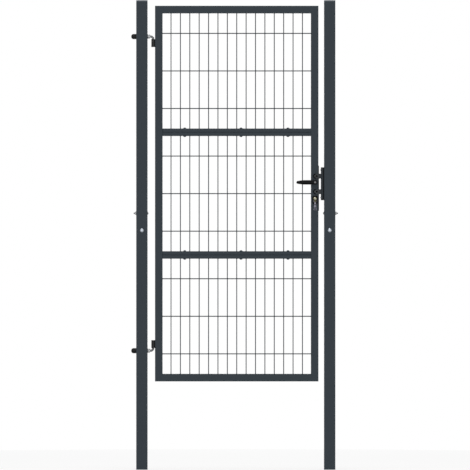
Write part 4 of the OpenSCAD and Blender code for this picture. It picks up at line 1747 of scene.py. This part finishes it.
@dataclass
class Levers(Assembly):
    """Lever handles: a waisted neck, a round hub and a swelling grip."""

    hub_r: float = 12.5 * MM
    hub_depth: float = 15 * MM
    hub_wall: float = 0.8 * MM
    hub_cut: float = 100 * MM
    neck_r: float = 8 * MM
    neck_end: float = 2 * MM
    waist_r: float = 7.2 * MM
    waist_start: float = 6 * MM
    waist_end: float = 9 * MM
    flare_w: float = 1.6 * MM
    flare_h: float = 3 * MM
    rim: float = 1.8 * MM
    bore_r: float = 7.5 * MM
    bore_depth: float = 3.6 * MM
    bore_edge: float = 0.5 * MM
    shank: float = 9.5 * MM
    swell: float = 11.5 * MM
    swell_start: float = 20 * MM
    swell_end: float = 61 * MM
    taper_power: float = 1.2
    tip: float = 7.7 * MM
    tip_angles: tuple[float, ...] = (30, 50, 65, 77, 86)
    depth: float = 7.5 * MM
    stations: int = 18
    even_share: float = 0.92
    square_half: float = 4 * MM
    square_edge: float = 0.4 * MM
    button_seat: float = 2 * MM
    button_foot: float = 1.5 * MM
    button_top: ClassVar[tuple[Point, ...]] = (
        (5.7 * MM, 1.1 * MM), (5.2 * MM, 1.6 * MM), (3.4 * MM, 1.9 * MM), (3.1 * MM, 1.6 * MM),
        (0, 1.6 * MM))

    def half_height(self, along: float, reach: float) -> float:
        """Gives the grip's half height at a distance from the lever's axis.

        Args:
            along: The distance.
            reach: The distance of the tip.

        Returns:
            Half the height there.
        """
        if along < self.swell_start:
            rise = math.sin(along / self.swell_start * math.pi / 2)
            return self.shank + (self.swell - self.shank) * rise
        if along < self.swell_end:
            return self.swell
        taper_end = reach - self.tip
        if along < taper_end:
            share = (along - self.swell_end) / (taper_end - self.swell_end)
            return self.swell + (self.tip - self.swell) * share ** self.taper_power
        share = (along - taper_end) / self.tip
        return self.tip * math.sqrt(max(0.0, 1 - share ** 2))

    def grip(self, box: Box, level: float, axis_x: float, grip_y: float) -> Object:
        """Draws the grip through oval sections.

        Args:
            box: The lever's box.
            level: Height of the lever's axis.
            axis_x: The axis's place.
            grip_y: Depth of the grip's middle line.

        Returns:
            The grip.
        """
        reach = axis_x - box.lo.x
        stops = [reach * i / self.stations * self.even_share for i in range(self.stations)]
        stops += [reach - self.tip * (1 - math.sin(math.radians(a))) for a in self.tip_angles]
        sections = []
        for along in stops:
            half = self.half_height(along, reach)
            sections.append((along, half, self.depth * min(1.0, (half / self.tip) ** 0.5)))
        return lofted("grip", sections, (axis_x, grip_y, level), Turn.LEFT)

    def build(self) -> None:
        """Models the front lever, mirrors it to the back and adds the spindle."""
        box, spindle = Box.of("front_lever"), Box.of("spindle")
        axis_x, level = spindle.mid.x, spindle.mid.z
        length = box.size.y
        flare = length - self.hub_depth
        edge, floor = self.bore_edge, length - self.bore_depth
        outline = [(0, 0), (self.neck_r, 0), (self.neck_r, self.neck_end),
                   (self.waist_r, self.waist_start), (self.waist_r, flare - self.waist_end),
                   (self.waist_r + self.flare_w, flare - self.flare_h),
                   (self.hub_r - self.rim, flare), (self.hub_r, flare + self.rim)]
        outline += arc((self.hub_r - self.rim, length - self.rim), self.rim, 0, 90, 5)
        outline += [(self.bore_r + edge, length), (self.bore_r, length - edge),
                    (self.bore_r, floor), (0, floor)]
        hub = turned("front_handle", outline, (axis_x, box.hi.y, level), Turn.FRONT, 48)
        grip = self.grip(box, level, axis_x, box.lo.y + self.hub_depth / 2)
        carve(grip, round_bar("hub_bore", self.hub_r - self.hub_wall, self.hub_cut,
                              (axis_x, box.lo.y, level), Turn.FRONT, 48))
        handle = joined("front_handle", hub, grip)
        twin = copied(handle, "back_handle", scale=(1, -1, 1))
        for piece, node in ((handle, "front_lever"), (twin, "back_lever")):
            self.hand_in(piece, self.finishes.lever, "lever_set", "black_metal", [node], 40)
        self.spindle(spindle)

    def spindle(self, box: Box) -> None:
        """Makes the square spindle and its two domed end buttons.

        Args:
            box: The spindle's box.
        """
        mid, half, foot = box.mid, self.square_half, self.button_foot
        bar = block("spindle_bar", (mid.x - half, box.lo.y + foot, mid.z - half),
                    (mid.x + half, box.hi.y - foot, mid.z + half), edge=self.square_edge)
        outline = [(0, -foot), (self.button_top[0][0], -foot), *self.button_top]
        front = turned("button", outline, (mid.x, box.lo.y + self.button_seat, mid.z),
                       Turn.FRONT, 40)
        back = copied(front, "button_twin", scale=(1, -1, 1))
        piece = joined("spindle_with_buttons", bar, front, back)
        self.hand_in(piece, self.finishes.button, "lever_set", "nickel", ["spindle"])


@dataclass
class Keys(Assembly):
    """The key in its plug, and two spare keys on a split ring."""

    thickness: float = 2.2 * MM
    bow_r: float = 10 * MM
    bow_edge: float = 0.35 * MM
    hole_r: float = 3.5 * MM
    rim: float = 2.5 * MM
    relief_rim: float = 2.2 * MM
    relief_depth: float = 0.22 * MM
    boss: float = 1.4 * MM
    blade_half: float = 4 * MM
    blade_sunk: float = 1.5 * MM
    blade_edge: float = 0.2 * MM
    bitting: float = 22 * MM
    tip_lift: float = 2.4 * MM
    groove_depth: float = 0.4 * MM
    groove_span: Point = (0.6 * MM, 1.9 * MM)
    plug_r: float = 6.5 * MM
    plug_edge: float = 0.5 * MM
    keyway_gap: float = 0.1 * MM
    keyway_floor: float = 3 * MM
    wire_r: float = 0.75 * MM
    coil_turn: float = math.radians(354)
    coil_openings: Point = (0.5 * math.pi, 0.9 * math.pi)
    spare_shank: float = 28 * MM
    slot_angle: float = math.radians(14)
    splay: float = math.radians(4)
    hang_gap: float = 0.1 * MM
    cuts: ClassVar[tuple[float, ...]] = (1.6, 0.5, 2.2, 1.1, 2.5, 0.8)

    def key(self, name: str, shank: float) -> Object:
        """Makes a key in the YZ plane, its bow's middle at the origin and its blade towards +Y.

        Args:
            name: The key's name.
            shank: Length of the blade past the bow.

        Returns:
            The key.
        """
        half = self.thickness / 2
        eye = (0, self.hole_r + self.rim - self.bow_r, 0)
        bow = round_bar(name, self.bow_r, self.thickness, turn=Turn.RIGHT, sides=40)
        carve(bow, round_bar("hole", self.hole_r, THROUGH, eye, Turn.RIGHT, 28))
        soften(bow, self.bow_edge)
        relief = round_bar("relief", self.bow_r - self.relief_rim, half,
                           (1.5 * half - self.relief_depth, 0, 0), Turn.RIGHT)
        carve(relief, round_bar("guard", self.hole_r + self.boss, THROUGH, eye, Turn.RIGHT, 28))
        mirror = copied(relief, "relief_twin", scale=(-1, 1, 1))
        carve(carve(bow, relief), mirror)
        return joined(name, bow, self.blade(shank))

    def blade(self, shank: float) -> Object:
        """Shapes a blade with a milled groove and cuts along its lower edge.

        Args:
            shank: Length of the blade past the bow.

        Returns:
            The blade.
        """
        end, root = self.bow_r + shank, self.bow_r - self.blade_sunk
        half, low = self.thickness / 2, -self.blade_half
        bitted = end - min(shank, self.bitting)
        blade = block("blade", (-half, root, low), (half, end, self.blade_half))
        count = len(self.cuts) * 2
        with editing(blade):
            pick(blade, Element.EDGES, runs_along(1))
            bpy.ops.mesh.subdivide(number_cuts=count)
            for i, depth in enumerate(self.cuts):
                y = root + (end - root) * (2 * i + 2) / (count + 1)
                if y >= bitted:
                    pick(blade, Element.VERTS,
                         lambda v, y=y: abs(v.co.y - y) < NEAR and v.co.z < low + NEAR)
                    bpy.ops.transform.translate(value=(0, 0, depth * MM))
            pick(blade, Element.VERTS, lambda v: v.co.y > end - NEAR and v.co.z < low + NEAR)
            bpy.ops.transform.translate(value=(0, 0, self.tip_lift))
        soften(blade, self.blade_edge, 1, 50)
        bottom, top = self.groove_span
        for x in (-half, half):
            carve(blade, block("groove", (x - self.groove_depth, root - PAST, bottom),
                               (x + self.groove_depth, end + PAST, top)))
        return blade

    def build(self) -> None:
        """Models the plug, the turned key, the ring and the spare keys."""
        plug, key = Box.of("cylinder_plug"), Box.of("key")
        self.plug(plug)
        turned_key = self.key("turned_key", key.hi.y - key.lo.y - 2 * self.bow_r)
        bow = Vector((key.mid.x, key.lo.y + self.bow_r, key.mid.z))
        place(turned_key, bow)
        self.hand_in(turned_key, self.finishes.nickel, "key_set", "nickel", ["key"])
        ring = Box.of("key_ring")
        self.ring(ring)
        self.spares(ring)

    def plug(self, box: Box) -> None:
        """Turns the plug and cuts its keyway.

        Args:
            box: The plug's box.
        """
        mid, radius, length, edge = box.mid, self.plug_r, box.size.y, self.plug_edge
        outline = [(0, 0), (radius, 0), (radius, length - edge), (radius - edge, length),
                   (0, length)]
        plug = turned("keyed_plug", outline, (mid.x, box.hi.y, mid.z), Turn.FRONT, 40)
        across, up = self.thickness / 2 + self.keyway_gap, self.blade_half + self.keyway_gap
        carve(plug, block("keyway", (mid.x - across, box.lo.y - PAST, mid.z - up),
                          (mid.x + across, box.hi.y - self.keyway_floor, mid.z + up)))
        self.hand_in(plug, self.finishes.plug, "key_set", "brass", ["cylinder_plug"])

    def ring(self, box: Box) -> None:
        """Coils the split ring from two open turns of wire.

        Args:
            box: The ring's box.
        """
        coil_r = self.wire_r / 2
        radius = box.size.x / 2 - coil_r
        coils = []
        for side, opening in zip((-1, 1), self.coil_openings):
            coil = start("circle", "coil", vertices=10, radius=coil_r, fill_type="NGON",
                         location=(radius, side * coil_r, 0))
            with editing(coil, everything=True):
                bpy.ops.mesh.spin(steps=56, angle=self.coil_turn, center=(0, side * coil_r, 0),
                                  axis=(0, 1, 0))
            tidy_mesh(coil)
            coils.append(copied(coil, "coil_turn", tilt=opening))
            bpy.data.objects.remove(coil)
        piece = place(joined("split_ring", *coils), box.mid)
        self.hand_in(piece, self.finishes.nickel, "key_bunch", "nickel", ["key_ring"], 60)

    def spares(self, box: Box) -> None:
        """Hangs two spare keys from the ring, each leaning a little outward.

        Args:
            box: The ring's box.
        """
        node = Box.of("spare_keys")
        ring_r = box.size.x / 2 - self.wire_r
        hang = self.hole_r - self.wire_r - self.hang_gap
        model = place(self.key("spare", self.spare_shank), turn=Turn.BACK)
        down = hang + self.bow_r - self.hole_r - self.rim
        keys = []
        for side in (-1, 1):
            x = box.mid.x + side * ring_r * math.sin(self.slot_angle)
            z = box.mid.z - ring_r * math.cos(self.slot_angle)
            tilt = -side * self.splay
            shift = (x - down * math.sin(tilt), node.mid.y, z - down * math.cos(tilt))
            keys.append(copied(model, "spare_key", shift, tilt=tilt))
        bpy.data.objects.remove(model)
        pair = joined("spare_key_pair", *keys)
        self.hand_in(pair, self.finishes.nickel, "key_bunch", "nickel", ["spare_keys"])


# ---------------------------------------------------------------- studio


@dataclass
class Studio:
    """A pale floor, soft lamps, a white surround and the camera."""

    lens: float = 600.0
    sensor: float = 36.0
    view_span: float = 2.5018
    view_x: float = 0.4958
    view_z: float = 1.2496
    front_y: float = -0.025
    floor_r: float = 4.0
    paper: Colour = (0.9, 0.9, 0.9)
    white: Colour = (1.0, 1.0, 1.0)
    ambient: float = 0.3
    floor_glow: float = 0.78

    def build(self) -> None:
        """Sets up the floor, the world, the lamps and the camera."""
        self.floor()
        self.world()
        self.lamp("front_light", (self.view_x - 0.4, -5.0, 2.0), (8.0, 3.8), 165)
        self.lamp("back_light", (self.view_x, 5.5, 2.4), (8.0, 4.4), 135)
        self.lamp("top_light", (self.view_x, -0.4, 6.0), (3.0, 1.2), 150)
        self.camera()
        bpy.context.scene.view_settings.view_transform = "Standard"

    def seen(self, graph: Graph) -> Value:
        """Picks the rays that show the surround to the eye, in glass or in metal.

        Args:
            graph: The floor's or the world's node graph.

        Returns:
            1 for such a ray and 0 for any other.
        """
        path = graph.node("ShaderNodeLightPath")
        camera, glossy, through = (Value(graph, path.outputs[name]) for name in (
            "Is Camera Ray", "Is Glossy Ray", "Is Transmission Ray"))
        return camera + glossy + through

    def floor(self) -> None:
        """Lays the round floor, pale and faintly shadowed."""
        disc = start("circle", "studio_floor", vertices=96, radius=self.floor_r, fill_type="NGON",
                     location=(self.view_x, 0, 0))
        material = bpy.data.materials.new("studio_floor_paper")
        material.use_nodes = True
        graph = Graph(material.node_tree)
        paper = graph.node("ShaderNodeBsdfDiffuse", None, {"Color": with_alpha(self.paper)})
        glow = graph.node("ShaderNodeEmission", None,
                          {"Color": with_alpha(self.white), "Strength": 1.0})
        mix = graph.node("ShaderNodeMixShader", None, {
            0: self.seen(graph) * self.floor_glow, 1: paper.outputs[0], 2: glow.outputs[0]})
        graph.node("ShaderNodeOutputMaterial", None, {"Surface": mix.outputs[0]})
        disc.data.materials.append(material)

    def world(self) -> None:
        """Surrounds the gate with white for the eye and soft light for the shading."""
        world = bpy.data.worlds.new("studio_world")
        bpy.context.scene.world = world
        world.use_nodes = True
        graph = Graph(world.node_tree)
        strength = self.seen(graph) * (1 - self.ambient) + self.ambient
        sky = graph.node("ShaderNodeBackground", None,
                         {"Color": with_alpha(self.white), "Strength": strength})
        graph.node("ShaderNodeOutputWorld", None, {"Surface": sky.outputs[0]})

    def lamp(self, name: str, at: Place, sides: Point, power: float) -> None:
        """Hangs a broad soft lamp that looks at the gate's middle.

        Args:
            name: The lamp's name.
            at: Its place.
            sides: Its width and height.
            power: Its power in watts.
        """
        data = bpy.data.lights.new(name, "AREA")
        data.shape = "RECTANGLE"
        data.size, data.size_y = sides
        data.energy = power
        lamp = bpy.data.objects.new(name, data)
        lamp.location = at
        target = Vector((self.view_x, 0, self.view_z))
        lamp.rotation_euler = (target - Vector(at)).to_track_quat("-Z", "Y").to_euler()
        lamp.visible_camera = False
        bpy.context.scene.collection.objects.link(lamp)

    def camera(self) -> None:
        """Sets the level camera in front of the gate's middle."""
        data = bpy.data.cameras.new("front_camera")
        data.lens = self.lens
        data.sensor_width = self.sensor
        distance = self.view_span * self.lens / self.sensor
        camera = bpy.data.objects.new("front_camera", data)
        camera.location = (self.view_x, self.front_y - distance, self.view_z)
        camera.rotation_euler = (math.pi / 2, 0, 0)
        data.clip_end = 4 * distance
        bpy.context.scene.collection.objects.link(camera)
        bpy.context.scene.camera = camera


def main() -> None:
    """Loads the frame, builds every sub-assembly around it and sets up the studio."""
    logging.basicConfig(level=logging.INFO, format="%(name)s: %(message)s")
    for obj in list(bpy.data.objects):
        bpy.data.objects.remove(obj)
    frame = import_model()
    bpy.ops.object.select_all(action="DESELECT")
    finishes = Finishes()
    TubeWork(finishes).build(frame["nodes"])
    for kind in (PostCaps, Hinges, PostBolts, Keep, WirePanels, RailBolts, FrameWelds, Lock,
                 Levers, Keys):
        assembly = kind(finishes)
        assembly.build()
        LOG.info("%s finished with %d pieces", kind.__name__, assembly.made)
    Studio().build()


if __name__ == "__main__":
    main()
